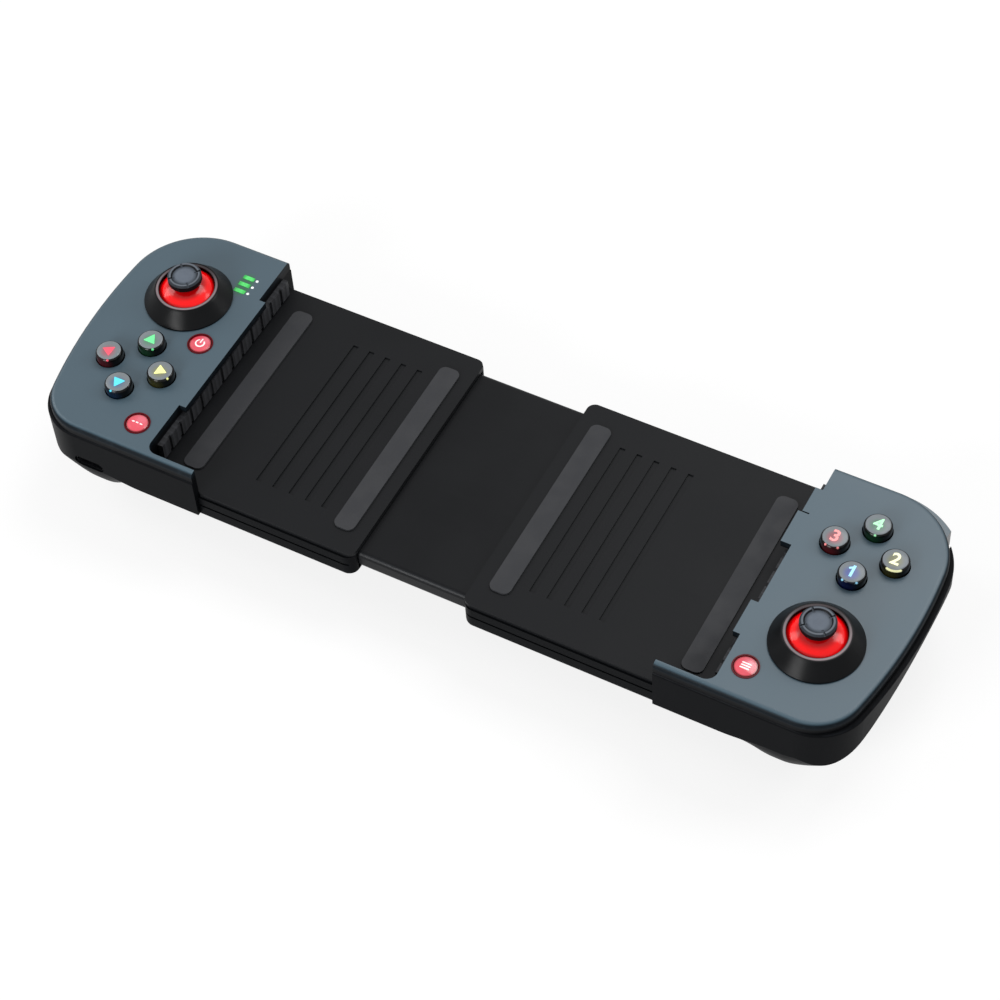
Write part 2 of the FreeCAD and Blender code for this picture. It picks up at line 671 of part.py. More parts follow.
def faceplate(side):
    """The face with its skirt, the rim's top, and the lips over the device's end."""
    plate = plan_prism(FACE, JAW_U, SHELL_TOP_Z, FACE_Z, rim=True)
    plate = plate.makeFillet(FACE_ROUND, outer_edges(plate, FACE_Z, FACE))
    under = plan_prism(shrunk(FACE, WALL), JAW_U + JAW_WALL, SHELL_TOP_Z, PLATE_UNDER_Z)
    plate = plate.cut(under)
    strips = LEFT_LIPS if side == "left" else RIGHT_LIPS
    lips = [box(JAW_U - reach, JAW_U + 0.5, v0, v1, PLATE_UNDER_Z, FACE_Z) for reach, v0, v1 in strips]
    posts = [rod(u, v, BOARD_TOP_Z, PLATE_UNDER_Z, POST_R) for u, v, _ in SCREW_PLACES]
    plate = fused(plate, *lips, *posts)
    holes = [rod(STICK_U, STICK_V[side], 0, REACH, STICK_BASE_R - STICK_BASE_EDGE)]
    holes += [rod(u, v, 0, REACH, KEY_R + KEY_GAP) for u, v in key_places(side).values()]
    holes += [rod(u, v, 0, REACH, RING_R) for u, v in SMALL_KEYS[side].values()]
    holes += [rod(u, v, 0, SHELL_TOP_Z - 1, SCREW_R) for u, v, _ in SCREW_PLACES]
    if side == "left":
        holes += light_bars(0, REACH)
    return plate.cut(holes)


def light_bars(z0, z1):
    """The three lights' shape from one height to another."""
    u0, u1 = LIGHT_U - LIGHT_LENGTH / 2, LIGHT_U + LIGHT_LENGTH / 2
    bars = []
    for k in range(LIGHT_COUNT):
        v = LIGHT_FAR_V - k * LIGHT_PITCH
        bars.append(box(u0, u1, v - LIGHT_WIDTH / 2, v + LIGHT_WIDTH / 2, z0, z1))
    return bars


def indicator_lights():
    return Part.makeCompound(light_bars(BOARD_TOP_Z, FACE_Z + LIGHT_PROUD))


def tray_cover(side):
    inner, outer = TRAY_INNER_U[side], JAW_U
    cover = box(inner, outer, -TRAY_COVER_V, TRAY_COVER_V, TRAY_SEAM_Z, TRAY_TOP_Z)
    ends = [e for e in cover.Edges if abs(e.BoundBox.XMax - inner) < 0.01 and e.BoundBox.ZLength > 1]
    cover = cover.makeFillet(TRAY_CORNER_R - TRAY_COVER_INSET, ends)
    bend = RIM_CORNER_R + 0.1
    cover = cover.cut(box(RIM_END_U - 0.3, REACH, -REACH, RIM_V + 0.1, 0, FACE_Z))
    cover = cover.cut(box(JAW_U - bend, REACH, -REACH, RIM_V + bend, 0, FACE_Z))
    for k in range(VENT_COUNT):
        u = inner + VENT_START + VENT_PITCH * k
        cover = cover.cut(box(u, u + VENT_WIDTH, -VENT_HALF_V, VENT_HALF_V, TRAY_TOP_Z - VENT_DEPTH, FACE_Z))
    holes = [rod(u, v, 0, TRAY_TOP_Z - TRAY_SCREW_END, TRAY_SCREW_R) for u, v in tray_screw_places(side)]
    return cover.cut(holes)


def tray_pads(side):
    """Two thin rubber strips that the device lies on."""
    strips = []
    for u in (TRAY_INNER_U[side] + STRIP_INSET, JAW_U - 2 * STRIP_WIDTH):
        sides = u, u + STRIP_WIDTH, -STRIP_HALF_V, STRIP_HALF_V
        strips.append(rounded_box(*sides, TRAY_TOP_Z, TRAY_TOP_Z + STRIP, STRIP_CORNER_R))
    return Part.makeCompound(strips)


def jaw_pad():
    """The ribbed rubber pad on the jaw's face, under the lips."""
    pad = box(PAD_FACE_U, JAW_U, PAD_START_V, PAD_END_V, TRAY_TOP_Z + 0.6, PAD_TOP_Z)
    for k in range(12):
        v = PAD_START_V + 3.0 + PAD_RIB_PITCH * k
        pad = pad.cut(box(PAD_FACE_U - 1, PAD_FACE_U + PAD_RIB, v, v + PAD_RIB_GAP, 0, FACE_Z))
    return pad


def circuit_board(side):
    outline = shrunk(BODY, BOARD_INSET)
    board = plan_prism(outline, BOARD_INNER_U, BOARD_UNDER_Z, BOARD_TOP_Z)
    board = board.cut(box(0, REACH, BOARD_FAR_V, REACH, 0, FACE_Z))
    sides = BOARD_INNER_U, BOARD_INNER_U + BOARD_TONGUE, BOARD_FAR_V, FAR_V - 2.3
    board = fused(board, box(*sides, BOARD_UNDER_Z, BOARD_TOP_Z))
    return board.cut([rod(u, v, 0, FACE_Z, SCREW_R + HEAD_GAP) for u, v, _ in SCREW_PLACES])


def key_mat(side):
    """A rubber sheet with a pillar under each button."""
    v = CLUSTER_V[side]
    sides = CLUSTER_U - MAT_HALF_U, CLUSTER_U + MAT_HALF_U, v - MAT_HALF_V, v + MAT_HALF_V
    sheet = rounded_box(*sides, BOARD_TOP_Z, MAT_TOP_Z, MAT_CORNER_R)
    pillars = [rod(u, w, MAT_TOP_Z, MAT_TOP_Z + PILLAR, PILLAR_R) for u, w in key_places(side).values()]
    for u, w in SMALL_KEYS[side].values():
        sheet = sheet.fuse(rod(u, w, BOARD_TOP_Z, MAT_TOP_Z, MAT_SPOT_R))
        pillars.append(rod(u, w, MAT_TOP_Z, MAT_TOP_Z + SMALL_PILLAR, SMALL_PILLAR_R))
    mat = fused(sheet, *pillars)
    gap = MAT_STICK_GAP
    mat = mat.cut(box(STICK_U - gap, STICK_U + gap, STICK_V[side] - gap, STICK_V[side] + gap, 0, FACE_Z))
    return mat.cut([rod(u, w, 0, FACE_Z, POST_R + HEAD_GAP) for u, w, _ in SCREW_PLACES])


def key(u, v):
    """A round button: cap, retaining flange and stem."""
    seat = PLATE_UNDER_Z - KEY_SEAT_GAP
    body = rod(u, v, seat, KEY_TOP_Z, KEY_R)
    rim = [e for e in body.Edges if e.BoundBox.ZMin > KEY_TOP_Z - 0.01]
    body = body.makeFillet(KEY_ROUND, rim)
    flange = rod(u, v, seat - FLANGE, seat, KEY_R + FLANGE)
    stem = rod(u, v, MAT_TOP_Z + PILLAR + KEY_TRAVEL + KEY_STEM_GAP, seat, KEY_STEM_R)
    return fused(body, flange, stem)


def small_key(u, v):
    """A small, slightly domed button inside its ring."""
    sphere_r = (SMALL_R ** 2 + SMALL_CROWN ** 2) / (2 * SMALL_CROWN)
    seat = PLATE_UNDER_Z - SMALL_SEAT_GAP
    body = rod(u, v, seat, SMALL_TOP_Z, SMALL_R)
    ball = Part.makeSphere(sphere_r, Vector(u, v, SMALL_TOP_Z - sphere_r))
    flange = rod(u, v, seat - SMALL_FLANGE, seat, RING_R - 0.1)
    stem = rod(u, v, MAT_TOP_Z + SMALL_PILLAR + SMALL_TRAVEL + KEY_STEM_GAP, seat, SMALL_STEM_R)
    return fused(body.common(ball), flange, stem)


def button_rings(side):
    rings = []
    for u, v in SMALL_KEYS[side].values():
        rings.append(tube(u, v, PLATE_UNDER_Z, FACE_Z + RING_HEIGHT, RING_R, SMALL_R + RING_GAP))
    return Part.makeCompound(rings)


def stick_bezel(side):
    """The black cone round a stick, open inside for the dome's swing."""
    clear = DOME_R + DOME_GAP

    def inner(z):
        return math.sqrt(clear ** 2 - (z - STICK_PIVOT_Z) ** 2)

    rim_z = FACE_Z + STICK_RIM_HEIGHT
    skirt_r = STICK_BASE_R - STICK_BASE_EDGE
    bore_r = DOME_R + 0.1
    foot_z = PLATE_UNDER_Z - 0.6
    profile = [
        (bore_r, foot_z),
        (skirt_r, foot_z),
        (skirt_r, FACE_Z),
        (STICK_BASE_R, FACE_Z),
        (STICK_BASE_R, FACE_Z + STICK_BASE_EDGE),
        (STICK_RIM_R + 0.3, rim_z - 0.3),
        (STICK_RIM_R, rim_z),
        (STICK_OPENING_R, rim_z),
        (STICK_OPENING_R, rim_z - 0.5),
    ]
    profile += [(inner(rim_z - drop), rim_z - drop) for drop in (1.1, 1.7, 2.5, 3.3)]
    profile.append((bore_r, FACE_Z - 0.5))
    return spun(profile, STICK_U, STICK_V[side])


def stick_dome(side):
    """The red dome under the cap, a shell centred on the stick's pivot."""
    u, v = STICK_U, STICK_V[side]
    centre = Vector(u, v, STICK_PIVOT_Z)
    edge = STICK_PIVOT_Z + DOME_R * math.cos(math.radians(DOME_EDGE_DEG))
    ball = Part.makeSphere(DOME_R, centre).cut(Part.makeSphere(DOME_R - DOME_WALL, centre))
    dome = ball.common(box(0, REACH, -REACH, REACH, edge, REACH))
    return dome.cut(rod(u, v, 0, REACH, SHAFT_R))


def stick_cap(side):
    """Rubber thumb cap: a hollowed neck, a flared disc and a raised rim with four notches."""
    u, v = STICK_U, STICK_V[side]
    low = STICK_TOP_Z - CAP_HEIGHT
    cap = spun(
        [
            (0, low),
            (CAP_NECK_R, low),
            (CAP_R - 0.1, low + 0.9),
            (CAP_R, low + 1.2),
            (CAP_R, STICK_TOP_Z - CAP_RIM),
            (CAP_R - CAP_RIM, STICK_TOP_Z),
            (CAP_R - 1.0, STICK_TOP_Z),
            (CAP_R - 1.35, STICK_TOP_Z - CAP_RIM),
            (CAP_R - 2.7, STICK_TOP_Z - 0.2),
            (0, STICK_TOP_Z - 0.1),
        ],
        u,
        v,
    )
    for turn in range(4):
        notch = box(CAP_R - 1.9, CAP_R + 1.3, -CAP_NOTCH / 2, CAP_NOTCH / 2, STICK_TOP_Z - 0.5, REACH)
        notch.rotate(Vector(0, 0, 0), TOP, 45 + 90 * turn)
        notch.translate(Vector(u, v, 0))
        cap = cap.cut(notch)
    ball = Part.makeSphere(DOME_R, Vector(u, v, STICK_PIVOT_Z))
    return cap.cut(ball).cut(rod(u, v, 0, STICK_TOP_Z - SHAFT_DROP, SHAFT_R))


def stick_shaft(side):
    """Upright shaft with a ball hub and a cross pin along Y."""
    u, v = STICK_U, STICK_V[side]
    shaft = rod(u, v, STICK_PIVOT_Z, STICK_TOP_Z - SHAFT_DROP, SHAFT_R)
    hub = Part.makeSphere(HUB_R, Vector(u, v, STICK_PIVOT_Z))
    half = ROCKER_HALF_V - 0.2
    pin = Part.makeCylinder(PIN_R, 2 * half, Vector(u, v - half, STICK_PIVOT_Z), Vector(0, 1, 0))
    return fused(shaft, hub, pin)


def stick_rocker(side):
    """The ring between carrier and stick: it turns about X and holds the cross pin along Y."""
    u, v, z = STICK_U, STICK_V[side], STICK_PIVOT_Z
    half_u, half_v, half_z = ROCKER_HALF_U, ROCKER_HALF_V, ROCKER_HALF_Z
    ring = rounded_box(u - half_u, u + half_u, v - half_v, v + half_v, z - half_z, z + half_z, 1.0)
    open_u, open_v = half_u - ROCKER_WALL_U, half_v - ROCKER_WALL_V
    ring = ring.cut(box(u - open_u, u + open_u, v - open_v, v + open_v, z - 2 * half_z, z + 2 * half_z))
    bore = Part.makeCylinder(PIN_R + PIN_GAP, 2 * REACH, Vector(u, v - REACH, z), Vector(0, 1, 0))
    ring = ring.cut(bore)
    reach = EAR + ROCKER_GAP + 0.6
    stubs = []
    for start in (u - CARRIER_HALF, u + CARRIER_HALF - reach):
        stubs.append(Part.makeCylinder(PIN_R, reach, Vector(start, v, z), Vector(1, 0, 0)))
    return fused(ring, *stubs)


def stick_carrier(side):
    """The platform that goes down when a stick is pressed, with two ears for the rocker."""
    u, v, z = STICK_U, STICK_V[side], STICK_PIVOT_Z
    half = CARRIER_HALF
    low = BOARD_TOP_Z + CARRIER_LIFT
    top = low + CARRIER_BASE
    base = rounded_box(u - half, u + half, v - half, v + half, low, top, 0.8)
    ears = []
    for start in (u - half, u + half - EAR):
        ears.append(box(start, start + EAR, v - EAR_HALF_V, v + EAR_HALF_V, low, z + EAR_RISE))
    bore = Part.makeCylinder(PIN_R + PIN_GAP, 2 * REACH, Vector(u - REACH, v, z), Vector(1, 0, 0))
    return fused(base, *ears).cut(bore)


def stick_housing(side):
    """The square frame on the board that guides the carrier."""
    u, v = STICK_U, STICK_V[side]
    inner = CARRIER_HALF + HOUSING_GAP
    half = inner + HOUSING_WALL
    z0 = BOARD_TOP_Z
    frame = rounded_box(u - half, u + half, v - half, v + half, z0, z0 + HOUSING_HEIGHT, 1.0)
    return frame.cut(box(u - inner, u + inner, v - inner, v + inner, z0 + HOUSING_FLOOR, FACE_Z))


def bumper():
    """The shoulder button: a band round the far corner, turning on an upright pin."""
    z0, z1 = BUMPER_LOW_Z, BUMPER_TOP_Z
    outline = shrunk(BODY, -BUMPER_PROUD)
    band = plan_prism(outline, BUMPER_START_U, z0, z1)
    band = band.makeFillet(BUMPER_EDGE_R, outer_edges(band, z1, outline))
    band = band.cut(plan_prism(shrunk(BODY, BUMPER_DEPTH), RIM_END_U, 0, FACE_Z))
    band = band.cut(box(0, REACH, -REACH, 0, 0, FACE_Z))
    band = band.cut(box(BUMPER_END_U, REACH, -REACH, REACH, 0, FACE_Z))
    u, v = BUMPER_PIVOT
    ear = rod(u, v, z0, z1, BUMPER_EAR_R)
    web = box(u - BUMPER_EAR_R, u + BUMPER_EAR_R, v, FAR_V - BUMPER_DEPTH + 0.5, z0, z1)
    return fused(band, ear, web).cut(rod(u, v, 0, FACE_Z, BUMPER_PIN_R + PIN_GAP))


def bumper_pin():
    return rod(*BUMPER_PIVOT, TRIGGER_TOP_Z + WINDOW_GAP, PLATE_UNDER_Z, BUMPER_PIN_R)


def trigger():
    """The lower shoulder trigger: a hooked finger pad hung from a pin along X."""
    z0, z1 = TRIGGER_LOW_Z, TRIGGER_TOP_Z
    pivot_v, pivot_z = TRIGGER_PIVOT
    back = Vector(0, pivot_v - TRIGGER_BACK, z1)
    waist = Vector(0, pivot_v - TRIGGER_BACK, pivot_z - TRIGGER_WAIST_DROP)
    tip = Vector(0, TRIGGER_REACH_V, z0 + TRIGGER_TIP)
    toe = Vector(0, TRIGGER_REACH_V - TRIGGER_TOE, z0)
    heel = Vector(0, pivot_v + TRIGGER_HEEL, z0 + TRIGGER_HEEL_RISE)
    crest = Vector(0, pivot_v + TRIGGER_CREST, z1)
    brow = Vector(0, pivot_v + TRIGGER_BROW, z1 - TRIGGER_BROW_DROP)
    bend = (crest + brow) / 2 + Vector(0, TRIGGER_BROW_DROP / 4, TRIGGER_BROW_DROP / 6)
    hollow = Vector(0, pivot_v + TRIGGER_HOLLOW, pivot_z - TRIGGER_HOLLOW_DROP)
    edges = [
        Part.makeLine(back, crest),
        Part.Arc(crest, bend, brow).toShape(),
        Part.Arc(brow, hollow, tip).toShape(),
        Part.makeLine(tip, toe),
        Part.makeLine(toe, heel),
        Part.makeLine(heel, waist),
        Part.makeLine(waist, back),
    ]
    face = Part.Face(Part.Wire(edges))
    face.translate(Vector(TRIGGER_START_U, 0, 0))
    body = face.extrude(Vector(TRIGGER_END_U - TRIGGER_START_U, 0, 0))
    front_v = (crest.y + brow.y) / 2
    sides = [e for e in body.Edges if e.BoundBox.XLength < 0.01 and e.BoundBox.Center.y > front_v]
    body = body.makeFillet(TRIGGER_EDGE_R, sides)
    hole = Part.makeCylinder(TRIGGER_PIN_R + PIN_GAP, REACH, Vector(0, pivot_v, pivot_z), Vector(1, 0, 0))
    return body.cut(hole)


def trigger_pin():
    start = TRIGGER_START_U - TRIGGER_PIN_END
    length = TRIGGER_END_U + TRIGGER_PIN_END - start
    return Part.makeCylinder(TRIGGER_PIN_R, length, Vector(start, *TRIGGER_PIVOT), Vector(1, 0, 0))


def usb_socket():
    v0 = NEAR_V + SOCKET_INSET
    v1 = v0 + SOCKET_DEPTH
    shell = socket_hole(0, v0, v1)
    bore = socket_hole(-SOCKET_WALL, v0 - 1, v1 - 1)
    u0, u1 = SOCKET_U - TONGUE_HALF, SOCKET_U + TONGUE_HALF
    tongue = box(u0, u1, v0 + 1.5, v1, SOCKET_Z - SOCKET_WALL, SOCKET_Z + SOCKET_WALL)
    return fused(shell.cut(bore), tongue)


def usb_board():
    u0, u1 = SOCKET_U - SOCKET_WIDTH / 2, SOCKET_U + SOCKET_WIDTH / 2
    v0, z0 = NEAR_V + CHARGER_BOARD_INSET, CHARGER_BOARD_Z
    sides = u0 - CHARGER_BOARD_LEFT, u1 + CHARGER_BOARD_RIGHT, v0, v0 + CHARGER_BOARD_LENGTH
    return box(*sides, z0, z0 + CHARGER_BOARD)


def battery():
    half_u, half_v = BATTERY_WIDTH / 2, BATTERY_LENGTH / 2
    sides = BATTERY_U - half_u, BATTERY_U + half_u, BATTERY_V - half_v, BATTERY_V + half_v
    return rounded_box(*sides, BATTERY_LOW_Z, BATTERY_TOP_Z, BATTERY_CORNER_R, "y")


def slide_rail():
    """The flat rail fixed in the right tray, hollow for the springs and the ribbon cable."""
    sides = RAIL_LEFT_X, RAIL_RIGHT_X, -RAIL_V, RAIL_V
    rail = rounded_box(*sides, RAIL_BOTTOM_Z, RAIL_TOP_Z, RAIL_CORNER_R, "x")
    inner_v = RAIL_V - RAIL_WALL
    low, high = RAIL_BOTTOM_Z + RAIL_WALL, RAIL_TOP_Z - RAIL_WALL
    rail = rail.cut(box(-REACH, RAIL_ANCHOR_X, -inner_v, inner_v, low, high))
    rail = rail.cut(box(RAIL_ANCHOR_X + RAIL_RIB, RAIL_RIGHT_X - RAIL_RIB, -inner_v, inner_v, low, high))
    slot = CABLE_HALF_WIDTH + CABLE_SLOT_GAP
    return rail.cut(box(-REACH, REACH, -slot, slot, low, low + RAIL_WALL))


def telescope_springs():
    """Two tension springs, as tubes, from the left tray's end to the rail's anchor rib."""
    length = RAIL_ANCHOR_X + TRAY_END_U
    z = (RAIL_BOTTOM_Z + RAIL_TOP_Z) / 2
    springs = []
    for v in (-SPRING_V, SPRING_V):
        start = Vector(-TRAY_END_U, v, z)
        outer = Part.makeCylinder(SPRING_R, length, start, Vector(1, 0, 0))
        springs.append(outer.cut(Part.makeCylinder(SPRING_BORE_R, length, start, Vector(1, 0, 0))))
    return Part.makeCompound(springs)


def ribbon_cable():
    half = CABLE_HALF_WIDTH
    return box(-CABLE_END_U, CABLE_END_U, -half, half, CABLE_Z, CABLE_Z + CABLE)


def export(name, shape, mirrored=False):
    placed = shape.mirror(Vector(0, 0, 0), Vector(1, 0, 0)) if mirrored else shape.copy()
    placed.translate(Vector(0, Y_SHIFT, 0))
    if not placed.isValid():
        print("not valid:", name)
    placed.exportStep(f"parts/{name}.step")


def side_pieces(side):
    pieces = {
        "back_shell": back_shell(side),
        "faceplate": faceplate(side),
        "tray_cover": tray_cover(side),
        "tray_pads": tray_pads(side),
        "jaw_pad": jaw_pad(),
        "circuit_board": circuit_board(side),
        "key_mat": key_mat(side),
        "button_rings": button_rings(side),
        "stick_bezel": stick_bezel(side),
        "stick_housing": stick_housing(side),
        "stick_carrier": stick_carrier(side),
        "stick_rocker": stick_rocker(side),
        "stick_shaft": stick_shaft(side),
        "stick_dome": stick_dome(side),
        "stick_cap": stick_cap(side),
        "bumper": bumper(),
        "bumper_pin": bumper_pin(),
        "trigger": trigger(),
        "trigger_pin": trigger_pin(),
        "screws": screws(side),
    }
    return {f"{side}_{name}": shape for name, shape in pieces.items()}


def main():
    os.makedirs("parts", exist_ok=True)
    cluster = {"left": "direction", "right": "action"}
    for side in ("left", "right"):
        mirrored = side == "left"
        for name, shape in side_pieces(side).items():
            export(name, shape, mirrored)
        for name, place in key_places(side).items():
            export(f"{cluster[side]}_button_{name}", key(*place), mirrored)
        for name, place in SMALL_KEYS[side].items():
            export(name, small_key(*place), mirrored)
    export("indicator_lights", indicator_lights(), True)
    export("usb_socket", usb_socket(), True)
    export("usb_board", usb_board(), True)
    export("battery", battery())
    export("slide_rail", slide_rail())
    export("telescope_springs", telescope_springs())
    export("ribbon_cable", ribbon_cable())


main()
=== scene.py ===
import bmesh
import bpy
import math
from mathutils import Matrix, Vector


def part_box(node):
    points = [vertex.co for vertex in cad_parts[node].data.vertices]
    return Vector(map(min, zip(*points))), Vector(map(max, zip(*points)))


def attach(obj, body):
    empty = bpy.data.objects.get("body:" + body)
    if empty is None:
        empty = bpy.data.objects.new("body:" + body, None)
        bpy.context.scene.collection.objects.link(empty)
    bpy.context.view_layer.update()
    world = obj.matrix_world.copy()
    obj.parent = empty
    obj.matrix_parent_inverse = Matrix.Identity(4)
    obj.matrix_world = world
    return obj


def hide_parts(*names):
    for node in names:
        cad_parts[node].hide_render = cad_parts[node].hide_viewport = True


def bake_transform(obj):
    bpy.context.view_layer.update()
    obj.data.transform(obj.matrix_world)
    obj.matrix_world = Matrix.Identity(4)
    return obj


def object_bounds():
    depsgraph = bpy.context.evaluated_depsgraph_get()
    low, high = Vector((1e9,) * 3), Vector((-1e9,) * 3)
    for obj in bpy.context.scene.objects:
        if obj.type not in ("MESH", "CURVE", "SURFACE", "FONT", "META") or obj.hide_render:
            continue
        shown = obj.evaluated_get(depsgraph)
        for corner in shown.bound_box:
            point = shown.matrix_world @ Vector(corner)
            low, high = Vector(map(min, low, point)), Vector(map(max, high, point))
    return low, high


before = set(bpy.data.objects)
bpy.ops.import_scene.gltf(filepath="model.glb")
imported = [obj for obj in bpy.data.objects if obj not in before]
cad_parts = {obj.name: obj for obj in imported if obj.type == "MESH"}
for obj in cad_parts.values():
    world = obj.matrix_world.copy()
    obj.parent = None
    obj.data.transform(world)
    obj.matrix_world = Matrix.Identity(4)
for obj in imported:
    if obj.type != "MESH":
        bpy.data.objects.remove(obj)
CAD_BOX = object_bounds()
MM = 0.001

# Heights above the table, in millimetres: the faceplates, the round buttons and the small ones.
FACE_Z = 31.5
KEY_TOP_Z = 34.2
SMALL_TOP_Z = 31.9

# A round button's flat top ends at this radius, and the painted glints on its shoulder sit at the next.
KEY_FACE_R = 3.14
GLINT_R = 3.5
TRIANGLE_R = 2.05
NUMBER_SIZE = 5.0
PRINT_HEIGHT = 0.05

# The sticks' middles, and the battery lights with the dots beside them.
STICKS = {"left": (-100.2, 11.7), "right": (100.2, -16.9)}
LIGHTS = (-88.9, 22.5)
LIGHT_PITCH = 2.5
DOT_X = -86.35
DOT_R = 0.42

# The camera that fits the photograph: its place, and its right, down and forward directions.
CAMERA_PLACE = (0.23486, -0.37902, 0.59365)
CAMERA_RIGHT = (0.88113, 0.47059, -0.04634)
CAMERA_DOWN = (0.34961, -0.71431, -0.60624)
CAMERA_FORWARD = (-0.31840, 0.51798, -0.79393)
CAMERA_LENS = 99.142


def linear(red, green, blue):
    """A screen colour, 0 to 255, as the shader wants it."""
    values = [c / 255 for c in (red, green, blue)]
    values = [c / 12.92 if c <= 0.04045 else ((c + 0.055) / 1.055) ** 2.4 for c in values]
    return (*values, 1)


def scaled(colour, factor):
    """The same colour, darker or lighter."""
    return (*(min(1, c * factor) for c in colour[:3]), 1)


def points_round(middle, radius, degrees):
    """Points round a middle, at these angles."""
    x, y = middle
    angles = [math.radians(a) for a in degrees]
    return [(x + radius * math.cos(a), y + radius * math.sin(a)) for a in angles]


class Finish:
    """One procedural material, built node by node."""

    def __init__(self, name):
        self.material = bpy.data.materials.new(name)
        self.material.use_nodes = True
        self.tree = self.material.node_tree
        self.shader = self.tree.nodes["Principled BSDF"]
        self.place = self.add("ShaderNodeTexCoord").outputs["Object"]
        self.normal = self.add("ShaderNodeNewGeometry").outputs["Normal"]

    def add(self, kind, **settings):
        node = self.tree.nodes.new(kind)
        for key, value in settings.items():
            setattr(node, key, value)
        return node

    def put(self, socket, value):
        """Links a socket to another's output, or gives it a plain value."""
        if isinstance(value, bpy.types.NodeSocket):
            self.tree.links.new(value, socket)
        else:
            socket.default_value = value

    def settle(self, node, **values):
        """Gives a node's own sockets their plain values, by name."""
        for name, value in values.items():
            node.inputs[name.replace("_", " ")].default_value = value

    def noise(self, size, detail=2, rough=0.5, stretch=(1, 1, 1)):
        """Noise whose lumps are about this many millimetres wide, 0 to 1."""
        mapping = self.add("ShaderNodeMapping")
        self.put(mapping.inputs["Vector"], self.place)
        self.settle(mapping, Scale=stretch)
        node = self.add("ShaderNodeTexNoise")
        self.put(node.inputs["Vector"], mapping.outputs["Vector"])
        self.settle(node, Scale=1 / (size * MM), Detail=detail, Roughness=rough)
        return node.outputs["Fac"]

    def maths(self, operation, first, second=0.0):
        node = self.add("ShaderNodeMath", operation=operation)
        self.put(node.inputs[0], first)
        self.put(node.inputs[1], second)
        return node.outputs[0]

    def span(self, value, low, high, out_low=0.0, out_high=1.0):
        """A smooth step from out_low to out_high as the value goes from low to high."""
        node = self.add("ShaderNodeMapRange", clamp=True, interpolation_type="SMOOTHSTEP")
        self.put(node.inputs["Value"], value)
        self.settle(node, From_Min=low, From_Max=high, To_Min=out_low, To_Max=out_high)
        return node.outputs["Result"]

    def mix(self, factor, first, second):
        """The first colour where the factor is 0, the second where it is 1."""
        node = self.add("ShaderNodeMix", data_type="RGBA")
        self.put(node.inputs[0], factor)
        self.put(node.inputs[6], first)
        self.put(node.inputs[7], second)
        return node.outputs[2]

    def part(self, vector, axis):
        """One coordinate of a vector."""
        node = self.add("ShaderNodeSeparateXYZ")
        self.put(node.inputs[0], vector)
        return node.outputs["XYZ".index(axis)]

    def distance(self, point, flatten=(1, 1, 1)):
        """Millimetres from a point of the part, with each axis weighed by flatten."""
        mapping = self.add("ShaderNodeMapping")
        self.put(mapping.inputs["Vector"], self.place)
        self.settle(mapping, Location=[-p * MM * f for p, f in zip(point, flatten)], Scale=flatten)
        node = self.add("ShaderNodeVectorMath", operation="LENGTH")
        self.put(node.inputs[0], mapping.outputs["Vector"])
        return self.maths("MULTIPLY", node.outputs["Value"], 1 / MM)

    def reach(self, middle):
        """Millimetres from the upright line through a middle."""
        return self.distance((*middle, 0), (1, 1, 0))

    def bump(self, height, depth, below=None):
        """Relief of this many millimetres, laid over any relief below."""
        node = self.add("ShaderNodeBump")
        self.settle(node, Distance=depth * MM)
        self.put(node.inputs["Height"], height)
        if below is not None:
            self.put(node.inputs["Normal"], below)
        return node.outputs["Normal"]

    def shade(self, colour, roughness, normal, **fixed):
        """Ends the material: three sockets that vary over the surface, and the fixed ones by name."""
        self.put(self.shader.inputs["Base Color"], colour)
        self.put(self.shader.inputs["Roughness"], roughness)
        self.put(self.shader.inputs["Normal"], normal)
        self.settle(self.shader, **fixed)
        return self.material


def moulded(name, colour, rough, **fixed):
    """Moulded plastic: spark-eroded grain, uneven tone, and a lighter band on sloped edges, partly painted
    highlight and partly the polish that hands leave.
    """
    look = Finish(name)
    broad = look.noise(26, 3)
    fine = look.noise(0.22, 2, 0.6)
    scuffs = look.noise(5, 4, 0.65, stretch=(0.25, 1.6, 1))
    # Painted highlight, partly hand polish: a lighter colour where the surface slopes near 45 degrees,
    # broken up by the scuff noise.
    upright = look.part(look.normal, "Z")
    squared = look.maths("MULTIPLY", upright, upright)
    edge = look.maths("MULTIPLY", squared, look.maths("SUBTRACT", 1.0, squared))
    edge = look.span(edge, 0.12, 0.25, 0, 0.35)
    edge = look.maths("MULTIPLY", edge, look.span(scuffs, 0.35, 0.65))
    base = look.mix(broad, scaled(colour, 0.88), scaled(colour, 1.12))
    base = look.mix(edge, base, scaled(colour, 5))
    roughness = look.span(broad, 0.3, 0.7, rough - 0.04, rough + 0.05)
    roughness = look.maths("ADD", roughness, look.span(scuffs, 0.55, 0.8, 0, 0.05))
    roughness = look.maths("SUBTRACT", roughness, look.maths("MULTIPLY", edge, 0.12))
    return look.shade(base, roughness, look.bump(fine, 0.006), **fixed)


def glossy(name, colour, rough, **fixed):
    """Polished plastic: nearly smooth, with faint flow marks and hairlines."""
    look = Finish(name)
    broad = look.noise(9, 3)
    hairs = look.noise(0.5, 3, 0.7, stretch=(0.12, 1.4, 1))
    base = look.mix(broad, scaled(colour, 0.9), scaled(colour, 1.1))
    roughness = look.span(broad, 0.25, 0.75, rough * 0.8, rough * 1.25)
    roughness = look.maths("ADD", roughness, look.span(hairs, 0.6, 0.75, 0, 0.08))
    return look.shade(base, roughness, look.bump(broad, 0.003), **fixed)


